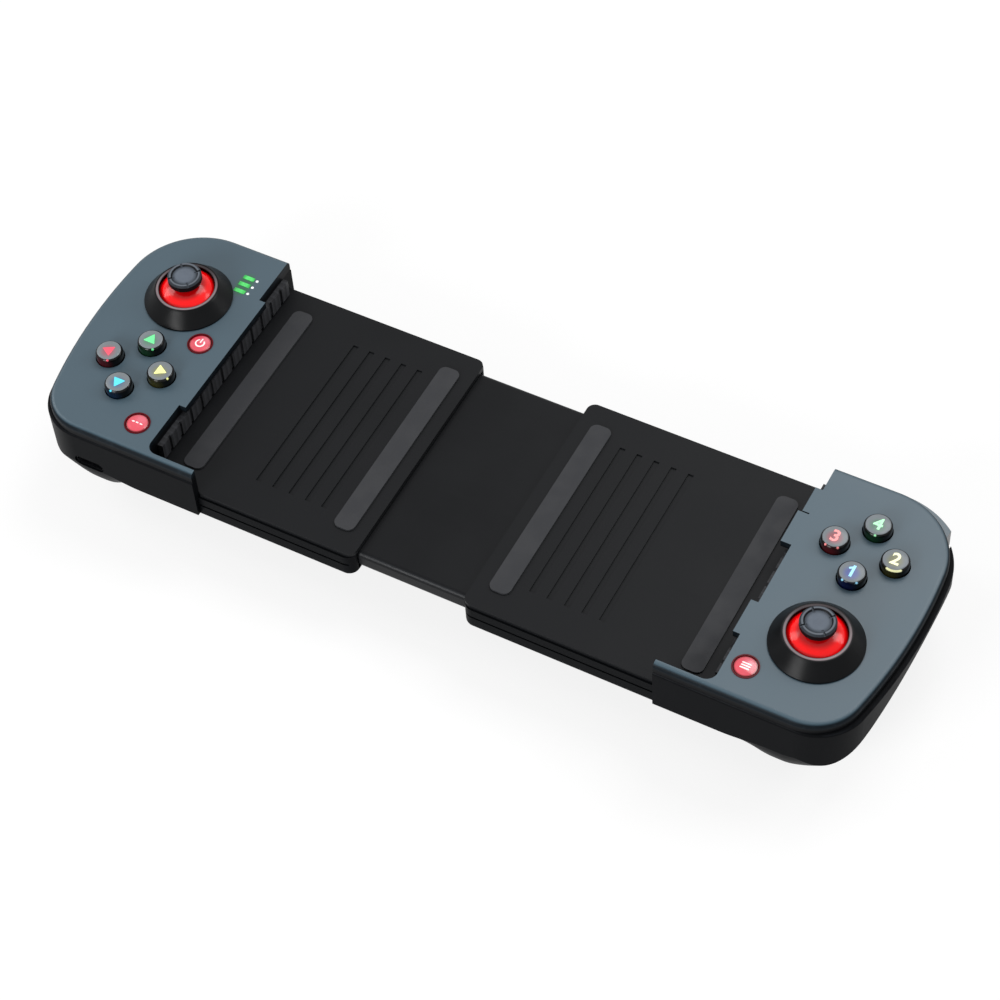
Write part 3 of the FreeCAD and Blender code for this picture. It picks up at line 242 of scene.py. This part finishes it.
def faceplate_finish(side):
    """Satin slate paint on the flat face, with painted shade darkening the rounded edge and going
    near-black on the wall below it.
    """
    slate = linear(58, 77, 88)
    look = Finish(f"{side}_face_paint")
    broad = look.noise(40, 2)
    fine = look.noise(0.16, 2, 0.6)
    specks = look.noise(0.5, 1)
    edge_shade_patches = look.noise(3, 4, 0.65)
    upright = look.part(look.normal, "Z")
    height = look.part(look.place, "Z")
    flat = look.span(upright, 0.60, 0.95)
    above_wall = look.span(height, (FACE_Z - 2.4) * MM, (FACE_Z - 1.0) * MM)
    base = look.mix(broad, scaled(slate, 0.93), scaled(slate, 1.07))
    base = look.mix(look.span(specks, 0.66, 0.74, 0, 0.25), base, scaled(slate, 1.3))
    # Painted shade: the rounded edge is darkened in uneven patches, and the wall below it goes near-black.
    edge_shade = look.mix(look.span(edge_shade_patches, 0.5, 0.7, 0, 0.4), linear(15, 21, 26), linear(30, 38, 44))
    edge_shade = look.mix(above_wall, linear(9, 10, 12), edge_shade)
    base = look.mix(flat, edge_shade, base)
    if side == "left":
        # Painted light: the battery lights' green glow is painted into the face colour round them.
        glow = look.distance((*LIGHTS, FACE_Z), (1, 0.55, 1))
        base = look.mix(look.span(glow, 1.6, 2.7, 0.75, 0), base, linear(35, 92, 58))
    roughness = look.span(broad, 0.3, 0.7, 0.40, 0.46)
    look.put(look.shader.inputs["Specular IOR Level"], look.span(upright, 0.75, 0.98, 0.05, 0.5))
    return look.shade(base, roughness, look.bump(fine, 0.004))


def bumper_finish(side):
    """Black satin plastic with a painted grey sheen on the upper side, and polished black below."""
    look = Finish(f"{side}_bumper_satin")
    upright = look.part(look.normal, "Z")
    broad = look.noise(8, 3)
    fine = look.noise(0.2, 2, 0.6)
    # Painted sheen: grey where the surface faces up, black elsewhere.
    base = look.mix(broad, linear(100, 112, 120), linear(114, 126, 134))
    base = look.mix(look.span(upright, 0.5, 0.9), linear(20, 21, 25), base)
    roughness = look.span(broad, 0.3, 0.7, 0.3, 0.38)
    return look.shade(base, roughness, look.bump(fine, 0.003), Specular_IOR_Level=0.3)


def key_finish(name, middle, sign_glow_colour, bright, glints):
    """A smoky clear cap with a black shoulder and wall, with its sign's colour painted on as a glow round
    the sign and on the near wall, and as glints on the shoulder.
    """
    look = Finish(name)
    upright = look.part(look.normal, "Z")
    x, y = middle
    reach = look.reach(middle)
    inside = look.span(reach, KEY_FACE_R + 0.18, KEY_FACE_R)
    top = look.maths("MULTIPLY", look.span(upright, 0.86, 0.97), inside)
    broad = look.noise(2.5, 3)
    face = look.mix(broad, linear(112, 119, 124), linear(128, 134, 138))
    # Painted light: the sign's colour glows on the top round the sign.
    sign_glow_reach = look.distance((x, y - 0.4, KEY_TOP_Z))
    face = look.mix(look.span(sign_glow_reach, 0.9, 2.7, 0.4, 0), face, scaled(sign_glow_colour, 1.6))
    wall = look.mix(broad, linear(4, 5, 6), linear(9, 10, 12))
    # Painted light: a glow of the sign's colour on the near wall.
    wall_glow_reach = look.distance((x - 0.2, y - 4.2, KEY_TOP_Z - 1.7), (0.5, 1, 1))
    wall = look.mix(look.span(wall_glow_reach, 0.4, 2.6, 0.7, 0), wall, scaled(sign_glow_colour, 0.18))
    # Painted glints: bright spots of the sign's colour on the shoulder.
    for glint in points_round(middle, GLINT_R, glints):
        spot = look.distance((*glint, KEY_TOP_Z - 0.2))
        wall = look.mix(look.span(spot, 0.24, 0.42, 0.9, 0), wall, bright)
    base = look.mix(top, wall, face)
    roughness = look.span(broad, 0.3, 0.7, 0.08, 0.14)
    crown = look.maths("MULTIPLY", look.maths("MULTIPLY", reach, reach), -0.03)
    normal = look.bump(broad, 0.004, below=look.bump(crown, 1.0))
    return look.shade(base, roughness, normal, Specular_IOR_Level=0.15)


def sign_finish(name, colour, glow=0.15):
    """A pad-printed or moulded-in sign: slightly uneven ink under gloss, with a faint painted glow."""
    look = Finish(name)
    broad = look.noise(1.2, 3)
    base = look.mix(broad, scaled(colour, 0.9), scaled(colour, 1.08))
    return look.shade(
        base,
        look.span(broad, 0.3, 0.7, 0.18, 0.3),
        look.bump(look.noise(0.12, 2), 0.002),
        # Painted light: the ink glows faintly, though no lamp is in it.
        Emission_Color=colour,
        Emission_Strength=glow,
    )


def stick_bezel_finish(side, middle):
    """Black cone with a lighter rim, partly painted highlight and partly rubbed polish, fading by painted
    shade towards its far side, with turned marks round it and a dark throat.
    """
    look = Finish(f"{side}_bezel_gloss")
    x, y = middle
    throat_r, rim_r = 7.7, 8.6
    reach = look.reach(middle)
    upright = look.part(look.normal, "Z")
    broad = look.noise(6, 3)
    rings = look.maths("SINE", look.maths("MULTIPLY", reach, 42))
    # Painted highlight, partly rubbed polish: the rim's flat top is lighter.
    outside = look.span(reach, throat_r, throat_r + 0.25)
    rim = look.maths("MULTIPLY", outside, look.span(reach, rim_r, rim_r - 0.35))
    rim = look.maths("MULTIPLY", look.span(upright, 0.8, 0.95), rim)
    # Painted shade: the rim's light colour fades towards its far side.
    rim_far_fade = look.span(look.reach((x - 3, y + 9)), 5, 15, 0.22, 1.0)
    lines = look.span(rings, -0.3, 0.3, 0.7, 1)
    rim = look.maths("MULTIPLY", look.maths("MULTIPLY", rim, rim_far_fade), lines)
    base = look.mix(broad, linear(7, 8, 9), linear(12, 13, 15))
    base = look.mix(rim, base, linear(150, 136, 140))
    base = look.mix(look.span(reach, throat_r + 0.02, throat_r - 0.15), base, linear(9, 9, 10))
    normal = look.bump(look.noise(0.2, 2), 0.003)
    normal = look.bump(rings, 0.0012, below=normal)
    roughness = look.span(broad, 0.3, 0.7, 0.28, 0.36)
    return look.shade(base, roughness, normal, Specular_IOR_Level=0.09)


def stick_dome_finish(side, middle):
    """Bright red gloss, deeper in the shadow of the cap."""
    look = Finish(f"{side}_dome_gloss")
    reach = look.reach(middle)
    broad = look.noise(4, 3)
    base = look.mix(broad, linear(242, 5, 9), linear(254, 9, 15))
    base = look.mix(look.span(reach, 6.0, 4.4, 0, 0.7), base, linear(130, 0, 4))
    # Painted shade where the dome goes under the bezel's rim.
    base = look.mix(look.span(reach, 7.2, 8.0, 0, 0.7), base, linear(120, 0, 4))
    roughness = look.span(broad, 0.3, 0.7, 0.14, 0.2)
    return look.shade(base, roughness, look.bump(broad, 0.004), Specular_IOR_Level=0.28)


def stick_cap_finish(side, middle):
    """Slate-black rubber with a painted sheen that greys its top, darker towards the edge of the top, and
    lighter round the raised rim.
    """
    look = Finish(f"{side}_cap_rubber")
    reach = look.reach(middle)
    upright = look.part(look.normal, "Z")
    broad = look.noise(2, 3)
    fine = look.noise(0.1, 2, 0.6)
    # Painted sheen: the upward-facing top is grey, the rest black.
    top = look.span(upright, 0.55, 0.92)
    crown = look.mix(broad, linear(86, 93, 104), linear(100, 108, 118))
    crown = look.mix(look.span(reach, 2.2, 3.3, 0, 0.8), crown, linear(58, 64, 71))
    rim = look.maths("MULTIPLY", look.span(reach, 3.5, 3.9), look.span(reach, 4.3, 4.0))
    crown = look.mix(look.maths("MULTIPLY", rim, 0.5), crown, linear(118, 124, 132))
    base = look.mix(top, linear(5, 5, 7), crown)
    roughness = look.span(broad, 0.3, 0.7, 0.48, 0.6)
    return look.shade(base, roughness, look.bump(fine, 0.006), Specular_IOR_Level=0.1)


def small_key_finish(name, middle):
    """Pink-red clear button, lit through, with a painted highlight near its crown and deep red at its wall.
    """
    look = Finish(name)
    x, y = middle
    reach = look.reach(middle)
    broad = look.noise(1.6, 3)
    crown = look.mix(broad, linear(208, 62, 80), linear(222, 82, 96))
    # Painted highlight: a lighter pink patch just off the middle of the crown.
    crown_highlight = look.span(look.distance((x + 0.6, y + 1.6, SMALL_TOP_Z - 0.1)), 0.4, 2.6, 0.5, 0)
    crown = look.mix(crown_highlight, crown, linear(232, 126, 144))
    base = look.mix(look.span(reach, 2.45, 2.9), crown, linear(140, 8, 22))
    roughness = look.span(broad, 0.3, 0.7, 0.14, 0.22)
    return look.shade(base, roughness, look.bump(broad, 0.003), Coat_Weight=0.3, Coat_Roughness=0.1)


def light_bar_finish():
    """Three lit bars: brighter in the middle of each, greener at the rims."""
    look = Finish("light_bars")
    cells = look.noise(0.8, 2)
    along = look.distance((*LIGHTS, FACE_Z), (1, 0, 0))
    base = look.mix(look.span(along, 0.6, 1.7), linear(72, 196, 96), linear(36, 158, 62))
    base = look.mix(look.span(cells, 0.4, 0.7, 0, 0.3), base, linear(104, 216, 122))
    look.put(look.shader.inputs["Emission Color"], base)
    roughness = look.span(cells, 0.3, 0.7, 0.2, 0.3)
    return look.shade(base, roughness, look.bump(cells, 0.003), Emission_Strength=0.25)


def board_finish():
    """Green lacquer over copper tracks and tinned pads."""
    look = Finish("board_lacquer")
    grid = look.add("ShaderNodeTexBrick", offset=0.37)
    look.put(grid.inputs["Vector"], look.place)
    look.settle(grid, Scale=130, Mortar_Size=0.035, Row_Height=0.5, Brick_Width=1.3)
    tracks = look.maths("LESS_THAN", look.noise(5, 1), 0.52)
    copper = look.maths("MULTIPLY", grid.outputs["Fac"], tracks)
    broad = look.noise(8, 2)
    base = look.mix(broad, linear(14, 70, 42), linear(20, 88, 52))
    base = look.mix(copper, base, linear(52, 128, 70))
    pads = look.add("ShaderNodeTexVoronoi")
    look.put(pads.inputs["Vector"], look.place)
    look.settle(pads, Scale=260)
    pad = look.span(pads.outputs["Distance"], 0.16, 0.12)
    base = look.mix(pad, base, linear(190, 186, 170))
    roughness = look.span(broad, 0.3, 0.7, 0.2, 0.3)
    return look.shade(base, roughness, look.bump(copper, 0.03))


def metal(name, colour, rough, brush=(0.05, 1.5, 1.5)):
    """Drawn or plated metal with brush lines."""
    look = Finish(name)
    lines = look.noise(0.3, 3, 0.6, stretch=brush)
    broad = look.noise(4, 2)
    base = look.mix(broad, scaled(colour, 0.86), scaled(colour, 1.06))
    roughness = look.span(lines, 0.3, 0.7, rough - 0.08, rough + 0.1)
    return look.shade(base, roughness, look.bump(lines, 0.003), Metallic=1.0)


def foil_finish():
    """The battery's wrinkled foil pouch."""
    look = Finish("pouch_foil")
    creases = look.noise(2.2, 4, 0.6)
    base = look.mix(creases, linear(150, 150, 154), linear(196, 196, 200))
    return look.shade(base, look.span(creases, 0.3, 0.7, 0.3, 0.48), look.bump(creases, 0.08), Metallic=0.9)


def rubber(name, colour, ribs=None):
    """Moulded rubber with fine grain and, where it is ribbed, a crest on each rib that use has rubbed
    lighter.
    """
    look = Finish(name)
    broad = look.noise(6, 3)
    fine = look.noise(0.15, 2, 0.6)
    base = look.mix(broad, scaled(colour, 0.8), scaled(colour, 1.25))
    normal = look.bump(fine, 0.01)
    if ribs:
        wave = look.add("ShaderNodeTexWave", bands_direction=ribs)
        look.put(wave.inputs["Vector"], look.place)
        look.settle(wave, Scale=160)
        base = look.mix(look.span(wave.outputs["Fac"], 0.6, 1, 0, 0.5), base, scaled(colour, 2.2))
        normal = look.bump(wave.outputs["Fac"], 0.08, below=normal)
    return look.shade(base, look.span(broad, 0.3, 0.7, 0.62, 0.78), normal, Specular_IOR_Level=0.3)


# The finish of each material slot, and below it those of nodes that have one of their own.
finishes = {
    "black_plastic": moulded("shell_plastic", linear(11, 12, 14), 0.38, Specular_IOR_Level=0.02),
    "black_rubber": rubber("strip_rubber", linear(40, 41, 44)),
    "board_green": board_finish(),
    "dark_red": glossy("ring_red", linear(84, 4, 13), 0.2, Specular_IOR_Level=0.1),
    "black_gloss": glossy("shoulder_gloss", linear(20, 21, 24), 0.22, Specular_IOR_Level=0.25),
    "steel": metal("plated_steel", linear(190, 192, 196), 0.28),
    "green_light": light_bar_finish(),
    "cell_foil": foil_finish(),
    "ribbon_film": glossy("ribbon_amber", linear(186, 116, 44), 0.3),
}
by_node = {
    "usb_socket": metal("socket_shell", linear(66, 67, 71), 0.34),
    "slide_rail": moulded("rail_plastic", linear(16, 17, 19), 0.34, Specular_IOR_Level=0.1),
}
cover_black = linear(18, 19, 21)
for side, middle in STICKS.items():
    by_node[f"{side}_jaw_pad"] = rubber(f"jaw_rubber_{side}", linear(34, 35, 38), "Y")
    by_node[f"{side}_key_mat"] = rubber(f"mat_rubber_{side}", linear(70, 74, 78))
    cover = moulded(f"cover_plastic_{side}", cover_black, 0.44, Specular_IOR_Level=0.1)
    by_node[f"{side}_tray_cover"] = cover
    by_node[f"{side}_faceplate"] = faceplate_finish(side)
    by_node[f"{side}_stick_bezel"] = stick_bezel_finish(side, middle)
    by_node[f"{side}_stick_dome"] = stick_dome_finish(side, middle)
    by_node[f"{side}_stick_cap"] = stick_cap_finish(side, middle)
    by_node[f"{side}_bumper"] = bumper_finish(side)


def middle_of(node):
    """The middle of a node seen from above, in millimetres."""
    low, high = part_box(node)
    return (low.x + high.x) / 2 / MM, (low.y + high.y) / 2 / MM


# The colours of each round button: the deep one for the glow painted round its sign and on its near wall,
# and the bright one for its sign and its painted glints.
SIGN_COLOURS = {
    "direction_button_left": (linear(150, 30, 50), linear(232, 84, 104)),
    "direction_button_up": (linear(30, 110, 60), linear(110, 236, 150)),
    "direction_button_right": (linear(110, 108, 30), linear(246, 250, 160)),
    "direction_button_down": (linear(20, 70, 120), linear(90, 216, 240)),
    "action_button_left": (linear(150, 20, 36), linear(244, 140, 140)),
    "action_button_up": (linear(24, 100, 56), linear(166, 244, 186)),
    "action_button_right": (linear(112, 108, 30), linear(252, 252, 196)),
    "action_button_down": (linear(18, 48, 150), linear(150, 216, 250)),
}
# Where round its shoulder each cap has a painted glint of its sign's colour, in degrees.
GLINTS = {
    "direction_button_left": [-64],
    "direction_button_up": [-50],
    "direction_button_right": [-24],
    "direction_button_down": [-92],
    "action_button_left": [-112, -56],
    "action_button_up": [-81],
    "action_button_right": range(-106, -42, 6),
    "action_button_down": [-112, -48],
}
for node, (deep, bright) in SIGN_COLOURS.items():
    by_node[node] = key_finish(f"cap_{node}", middle_of(node), deep, bright, GLINTS[node])
for node in ("power_button", "select_button", "start_button"):
    by_node[node] = small_key_finish(f"lens_{node}", middle_of(node))

for node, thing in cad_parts.items():
    for spot in thing.material_slots:
        spot.material = by_node.get(node) or finishes[spot.material.name.split(".")[0]]


def mesh_piece(name, mesh_maker, material, body):
    """A new piece from a function that fills a mesh. A piece given no body rides on none."""
    data = bpy.data.meshes.new(name)
    work = bmesh.new()
    mesh_maker(work)
    bmesh.ops.recalc_face_normals(work, faces=work.faces)
    work.to_mesh(data)
    work.free()
    piece = bpy.data.objects.new(name, data)
    bpy.context.scene.collection.objects.link(piece)
    data.materials.append(material)
    if body:
        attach(piece, body)
    return piece


def skin(work, rings):
    """Joins each ring of vertices to the next, and closes both ends."""
    count = len(rings[0])
    for lower, upper in zip(rings, rings[1:]):
        for k in range(count):
            work.faces.new((lower[k], lower[(k + 1) % count], upper[(k + 1) % count], upper[k]))
    work.faces.new(list(reversed(rings[0])))
    work.faces.new(rings[-1])


def plate(work, outline, low, high, rise=None):
    """A thin plate with this outline, its upper edge drawn in. rise gives the ground below a point."""
    ground = rise or (lambda x, y: 0)
    edge_height, edge_width = 0.02, 0.03
    cx = sum(p[0] for p in outline) / len(outline)
    cy = sum(p[1] for p in outline) / len(outline)
    rings = []
    for height, inset in ((low, 0), (high - edge_height, 0), (high, edge_width)):
        ring = []
        for x, y in outline:
            away = math.hypot(x - cx, y - cy) or 1
            px = x - (x - cx) / away * inset
            py = y - (y - cy) / away * inset
            ring.append(work.verts.new(Vector((px, py, height + ground(px, py))) * MM))
        rings.append(ring)
    skin(work, rings)


def strip(work, points, half, low, high, rise=None):
    """A stroke of even width along points, with round ends."""
    left, right = [], []
    for i, (x, y) in enumerate(points):
        before = points[max(i - 1, 0)]
        after = points[min(i + 1, len(points) - 1)]
        dx, dy = after[0] - before[0], after[1] - before[1]
        size = math.hypot(dx, dy)
        left.append((x - dy / size * half, y + dx / size * half))
        right.append((x + dy / size * half, y - dx / size * half))
    ends = []
    for (x, y), (ox, oy) in ((points[-1], left[-1]), (points[0], right[0])):
        start = math.atan2(oy - y, ox - x)
        ends.append([(x + math.cos(start - a) * half, y + math.sin(start - a) * half)
                     for a in (math.pi * k / 6 for k in range(1, 6))])
    outline = left + ends[0] + list(reversed(right)) + ends[1]
    plate(work, outline, low, high, rise)


def rounded(points, radius):
    """An outline with its corners rounded."""
    steps = 4
    out = []
    for i, corner in enumerate(points):
        before = Vector(points[i - 1])
        after = Vector(points[(i + 1) % len(points)])
        here = Vector(corner)
        first = here + (before - here).normalized() * radius
        last = here + (after - here).normalized() * radius
        for k in range(steps + 1):
            t = k / steps
            out.append(tuple(first.lerp(here, t).lerp(here.lerp(last, t), t)))
    return out


# The direction triangles, each with one corner pointing out.
for node, turn in (
    ("direction_button_up", 90),
    ("direction_button_left", 180),
    ("direction_button_right", 0),
    ("direction_button_down", 270),
):
    corners = points_round(middle_of(node), TRIANGLE_R, (turn, turn + 120, turn + 240))
    outline = rounded(corners, 0.35)
    mesh_piece(
        f"{node}_triangle",
        lambda work: plate(work, outline, KEY_TOP_Z - 0.01, KEY_TOP_Z + PRINT_HEIGHT),
        sign_finish(f"{node}_ink", SIGN_COLOURS[node][1]),
        node,
    )

# Plain numbers on the action buttons, with half of each one's depth on either side of its middle.
number_half = 0.03
for node, number in (
    ("action_button_down", "1"),
    ("action_button_right", "2"),
    ("action_button_left", "3"),
    ("action_button_up", "4"),
):
    x, y = middle_of(node)
    words = bpy.data.curves.new(f"{node}_number", "FONT")
    words.body = number
    words.size = NUMBER_SIZE * MM
    words.extrude = number_half * MM
    words.offset = 0.12 * MM
    words.align_x = "CENTER"
    words.align_y = "CENTER"
    words.resolution_u = 6
    piece = bpy.data.objects.new(f"{node}_number", words)
    bpy.context.scene.collection.objects.link(piece)
    piece.location = Vector((x, y, KEY_TOP_Z + PRINT_HEIGHT - number_half)) * MM
    words.materials.append(sign_finish(f"{node}_ink", SIGN_COLOURS[node][1]))
    bpy.context.view_layer.update()
    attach(piece, node)


def flag_of_one(work):
    """The slanting stroke at the head of the 1, a little below the top of the number's print."""
    x, y = middle_of("action_button_down")
    stroke = [(x - 0.95 + 0.25 * k, y + 0.86 + 0.16 * k) for k in range(5)]
    strip(work, stroke, 0.3, KEY_TOP_Z - 0.01, KEY_TOP_Z + PRINT_HEIGHT - 0.01)


mesh_piece(
    "action_button_down_flag",
    flag_of_one,
    bpy.data.objects["action_button_down_number"].data.materials[0],
    "action_button_down",
)


def stroke_on_dome(work, points, half, middle):
    """A printed stroke that follows the domed top of a small button."""
    strip(
        work,
        points,
        half,
        SMALL_TOP_Z - 0.03,
        SMALL_TOP_Z + PRINT_HEIGHT,
        lambda x, y: -0.0385 * ((x - middle[0]) ** 2 + (y - middle[1]) ** 2),
    )


white = sign_finish("small_sign_ink", linear(255, 226, 226), 0.2)


def power_sign(work):
    """An open ring with an upright stroke in its gap."""
    middle = middle_of("power_button")
    x, y = middle
    half = 0.19
    stroke_on_dome(work, points_round(middle, 1.2, range(128, 414, 11)), half, middle)
    stroke_on_dome(work, [(x, y + 0.25 + 0.25 * k) for k in range(6)], half, middle)


mesh_piece("power_sign", power_sign, white, "power_button")


def bars(node, marks):
    """Short level strokes on a small button, each with its middle and half its length."""
    middle = middle_of(node)

    def make(work):
        for dx, dy, half in marks:
            line = [(middle[0] + dx + half * t, middle[1] + dy) for t in (-1, -0.5, 0, 0.5, 1)]
            stroke_on_dome(work, line, 0.2, middle)

    mesh_piece(f"{node}_sign", make, white, node)


bars("select_button", [(dx, 0, 0.22) for dx in (-1.2, 0, 1.2)])
bars("start_button", [(0, dy, 1.1) for dy in (0.75, 0, -0.75)])


def light_dots(work):
    """Small printed dots, one beside each battery light."""
    for step in (1, 0, -1):
        middle = (DOT_X, LIGHTS[1] + step * LIGHT_PITCH)
        ring = points_round(middle, DOT_R, [22.5 * k for k in range(16)])
        plate(work, ring, FACE_Z - 0.01, FACE_Z + 0.03)


dot_ink = sign_finish("dot_ink", linear(236, 240, 240), 0.1)
mesh_piece("light_dots", light_dots, dot_ink, "left_half")


def tube(work, points, radius, sides):
    """A round wire along points in millimetres."""
    rings = []
    count = len(points)
    for i, point in enumerate(points):
        here = Vector(point)
        ahead = Vector(points[min(i + 1, count - 1)]) - Vector(points[max(i - 1, 0)])
        ahead.normalize()
        across = ahead.cross(Vector((0.3, 0.2, 1))).normalized()
        other = ahead.cross(across)
        rings.append([
            work.verts.new((here + across * radius * math.cos(a) + other * radius * math.sin(a)) * MM)
            for a in (math.tau * k / sides for k in range(sides))
        ])
    skin(work, rings)


spring_low, spring_high = (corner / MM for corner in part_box("telescope_springs"))
spring_steel = metal("spring_steel", linear(176, 178, 182), 0.3, brush=(1, 1, 1))


def wound_springs(work):
    """Two close-wound tension springs, with a hook at each end."""
    turns, steps = 78, 12
    wire, wire_sides = 0.28, 6
    hook_r, hook_length = 1.02, 2.6
    outer_r = (spring_high.z - spring_low.z) / 2
    coil_r = outer_r - wire
    z = (spring_high.z + spring_low.z) / 2
    start, end = spring_low.x + hook_length, spring_high.x - hook_length
    for y in (spring_low.y + outer_r, spring_high.y - outer_r):
        coil = []
        for k in range(turns * steps + 1):
            x = start + (end - start) * k / (turns * steps)
            a = math.tau * k / steps
            coil.append((x, y + coil_r * math.cos(a), z + coil_r * math.sin(a)))
        tube(work, coil, wire, wire_sides)
        for x, way in ((start, -1), (end, 1)):
            angles = [math.radians(d) for d in range(20, 341, 20)]
            hook = [
                (x + way * (hook_length / 2 - hook_r * math.cos(a)), y, z + hook_r * math.sin(a))
                for a in angles
            ]
            tube(work, hook, wire, wire_sides)


springs = mesh_piece("wound_springs", wound_springs, spring_steel, None)
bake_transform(springs)
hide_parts("telescope_springs")

ribbon_low, ribbon_high = (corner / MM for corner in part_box("ribbon_cable"))


def ribbon_finish():
    """Amber film with copper tracks along it."""
    look = Finish("ribbon_film_tracks")
    track_pitch = 0.5
    across = look.part(look.place, "Y")
    tracks = look.maths("SINE", look.maths("MULTIPLY", across, math.tau / (track_pitch * MM)))
    broad = look.noise(6, 2)
    film = look.mix(broad, linear(170, 98, 34), linear(196, 124, 50))
    base = look.mix(look.span(tracks, -0.1, 0.3, 0, 0.8), film, linear(212, 150, 84))
    return look.shade(base, look.span(broad, 0.3, 0.7, 0.22, 0.34), look.bump(tracks, 0.02))


def waved_ribbon(work):
    """A flat film that lies in shallow waves, so that it can pay out."""
    steps = 220
    thickness = 0.05
    waves, wave_height = 9, 0.07
    middle_z = (ribbon_low.z + ribbon_high.z) / 2
    rows = []
    for k in range(steps + 1):
        t = k / steps
        x = ribbon_low.x + (ribbon_high.x - ribbon_low.x) * t
        wave = wave_height * math.sin(math.tau * waves * t) * math.sin(math.pi * t)
        rows.append([
            work.verts.new(Vector((x, y, middle_z + wave + dz)) * MM)
            for y, dz in (
                (ribbon_low.y, -thickness / 2),
                (ribbon_high.y, -thickness / 2),
                (ribbon_high.y, thickness / 2),
                (ribbon_low.y, thickness / 2),
            )
        ])
    skin(work, rows)


ribbon = mesh_piece("waved_ribbon", waved_ribbon, ribbon_finish(), None)
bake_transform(ribbon)
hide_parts("ribbon_cable")


def floor_finish():
    """White paper that keeps the object's shadow, a fifth as deep to the camera as it falls."""
    look = Finish("floor_paper")
    shadow_kept = 0.2
    grain = look.noise(1.5, 3)
    base = look.mix(grain, (0.93, 0.93, 0.93, 1), (0.96, 0.96, 0.96, 1))
    roughness = look.span(grain, 0.3, 0.7, 0.85, 0.95)
    look.shade(base, roughness, look.bump(grain, 0.02), Specular_IOR_Level=0.0)
    white_light = look.add("ShaderNodeEmission")
    look.settle(white_light, Strength=1.0)
    blend = look.add("ShaderNodeMixShader")
    path = look.add("ShaderNodeLightPath")
    seen = look.maths("MAXIMUM", path.outputs["Is Camera Ray"], path.outputs["Is Glossy Ray"])
    seen = look.maths("MAXIMUM", seen, path.outputs["Is Transmission Ray"])
    look.put(blend.inputs[0], look.maths("MULTIPLY", seen, 1 - shadow_kept))
    look.put(blend.inputs[1], look.shader.outputs[0])
    look.put(blend.inputs[2], white_light.outputs[0])
    look.put(look.tree.nodes["Material Output"].inputs["Surface"], blend.outputs[0])
    return look.material


def lay_floor():
    """A round floor, six metres in radius, a hair below the object so that the two don't meet."""
    data = bpy.data.meshes.new("floor")
    work = bmesh.new()
    bmesh.ops.create_circle(work, cap_ends=True, segments=96, radius=6.0)
    work.to_mesh(data)
    work.free()
    floor = bpy.data.objects.new("floor", data)
    bpy.context.scene.collection.objects.link(floor)
    floor.location.z = CAD_BOX[0][2] - 0.3 * MM
    data.materials.append(floor_finish())


def softbox(name, place, power, width, height):
    """A rectangular lamp that faces the object, out of the camera's sight."""
    lamp = bpy.data.lights.new(name, "AREA")
    lamp.shape = "RECTANGLE"
    lamp.size = width
    lamp.size_y = height
    lamp.energy = power
    thing = bpy.data.objects.new(name, lamp)
    aim = Vector((0, 0, 0.02)) - Vector(place)
    thing.location = place
    thing.rotation_euler = aim.to_track_quat("-Z", "Y").to_euler()
    thing.visible_camera = False
    bpy.context.scene.collection.objects.link(thing)


def studio_world():
    """White to the camera and in reflections, and a dim even light on everything else."""
    world = bpy.data.worlds.new("studio")
    bpy.context.scene.world = world
    world.use_nodes = True
    tree = world.node_tree
    background = tree.nodes["Background"]
    background.inputs["Color"].default_value = (1, 1, 1, 1)
    path = tree.nodes.new("ShaderNodeLightPath")
    seen = path.outputs["Is Camera Ray"]
    for ray in ("Is Glossy Ray", "Is Transmission Ray"):
        either = tree.nodes.new("ShaderNodeMath")
        either.operation = "MAXIMUM"
        tree.links.new(seen, either.inputs[0])
        tree.links.new(path.outputs[ray], either.inputs[1])
        seen = either.outputs[0]
    level = tree.nodes.new("ShaderNodeMapRange")
    level.inputs["To Min"].default_value = 0.35
    level.inputs["To Max"].default_value = 1.0
    tree.links.new(seen, level.inputs["Value"])
    tree.links.new(level.outputs["Result"], background.inputs["Strength"])


lay_floor()
# Each lamp's place in metres, its power in watts, and its width and height in metres.
softbox("far_top_box", (0.12, 0.62, 1.0), 5.9, 0.60, 0.60)
softbox("near_left_box", (-0.18, -0.82, 0.36), 6.6, 0.36, 0.45)
softbox("left_box", (-0.86, -0.02, 0.56), 2.6, 0.36, 0.50)
softbox("right_box", (0.66, 0.56, 0.58), 3.0, 0.36, 0.44)
studio_world()

lens = bpy.data.cameras.new("photo_camera")
lens.lens = CAMERA_LENS
lens.sensor_width = 36
lens.clip_start = 0.01
camera = bpy.data.objects.new("photo_camera", lens)
bpy.context.scene.collection.objects.link(camera)
upward, backward = [-c for c in CAMERA_DOWN], [-c for c in CAMERA_FORWARD]
turn = Matrix((CAMERA_RIGHT, upward, backward)).transposed()
camera.matrix_world = Matrix.Translation(CAMERA_PLACE) @ turn.to_4x4()
bpy.context.scene.camera = camera
bpy.context.scene.view_settings.view_transform = "Standard"
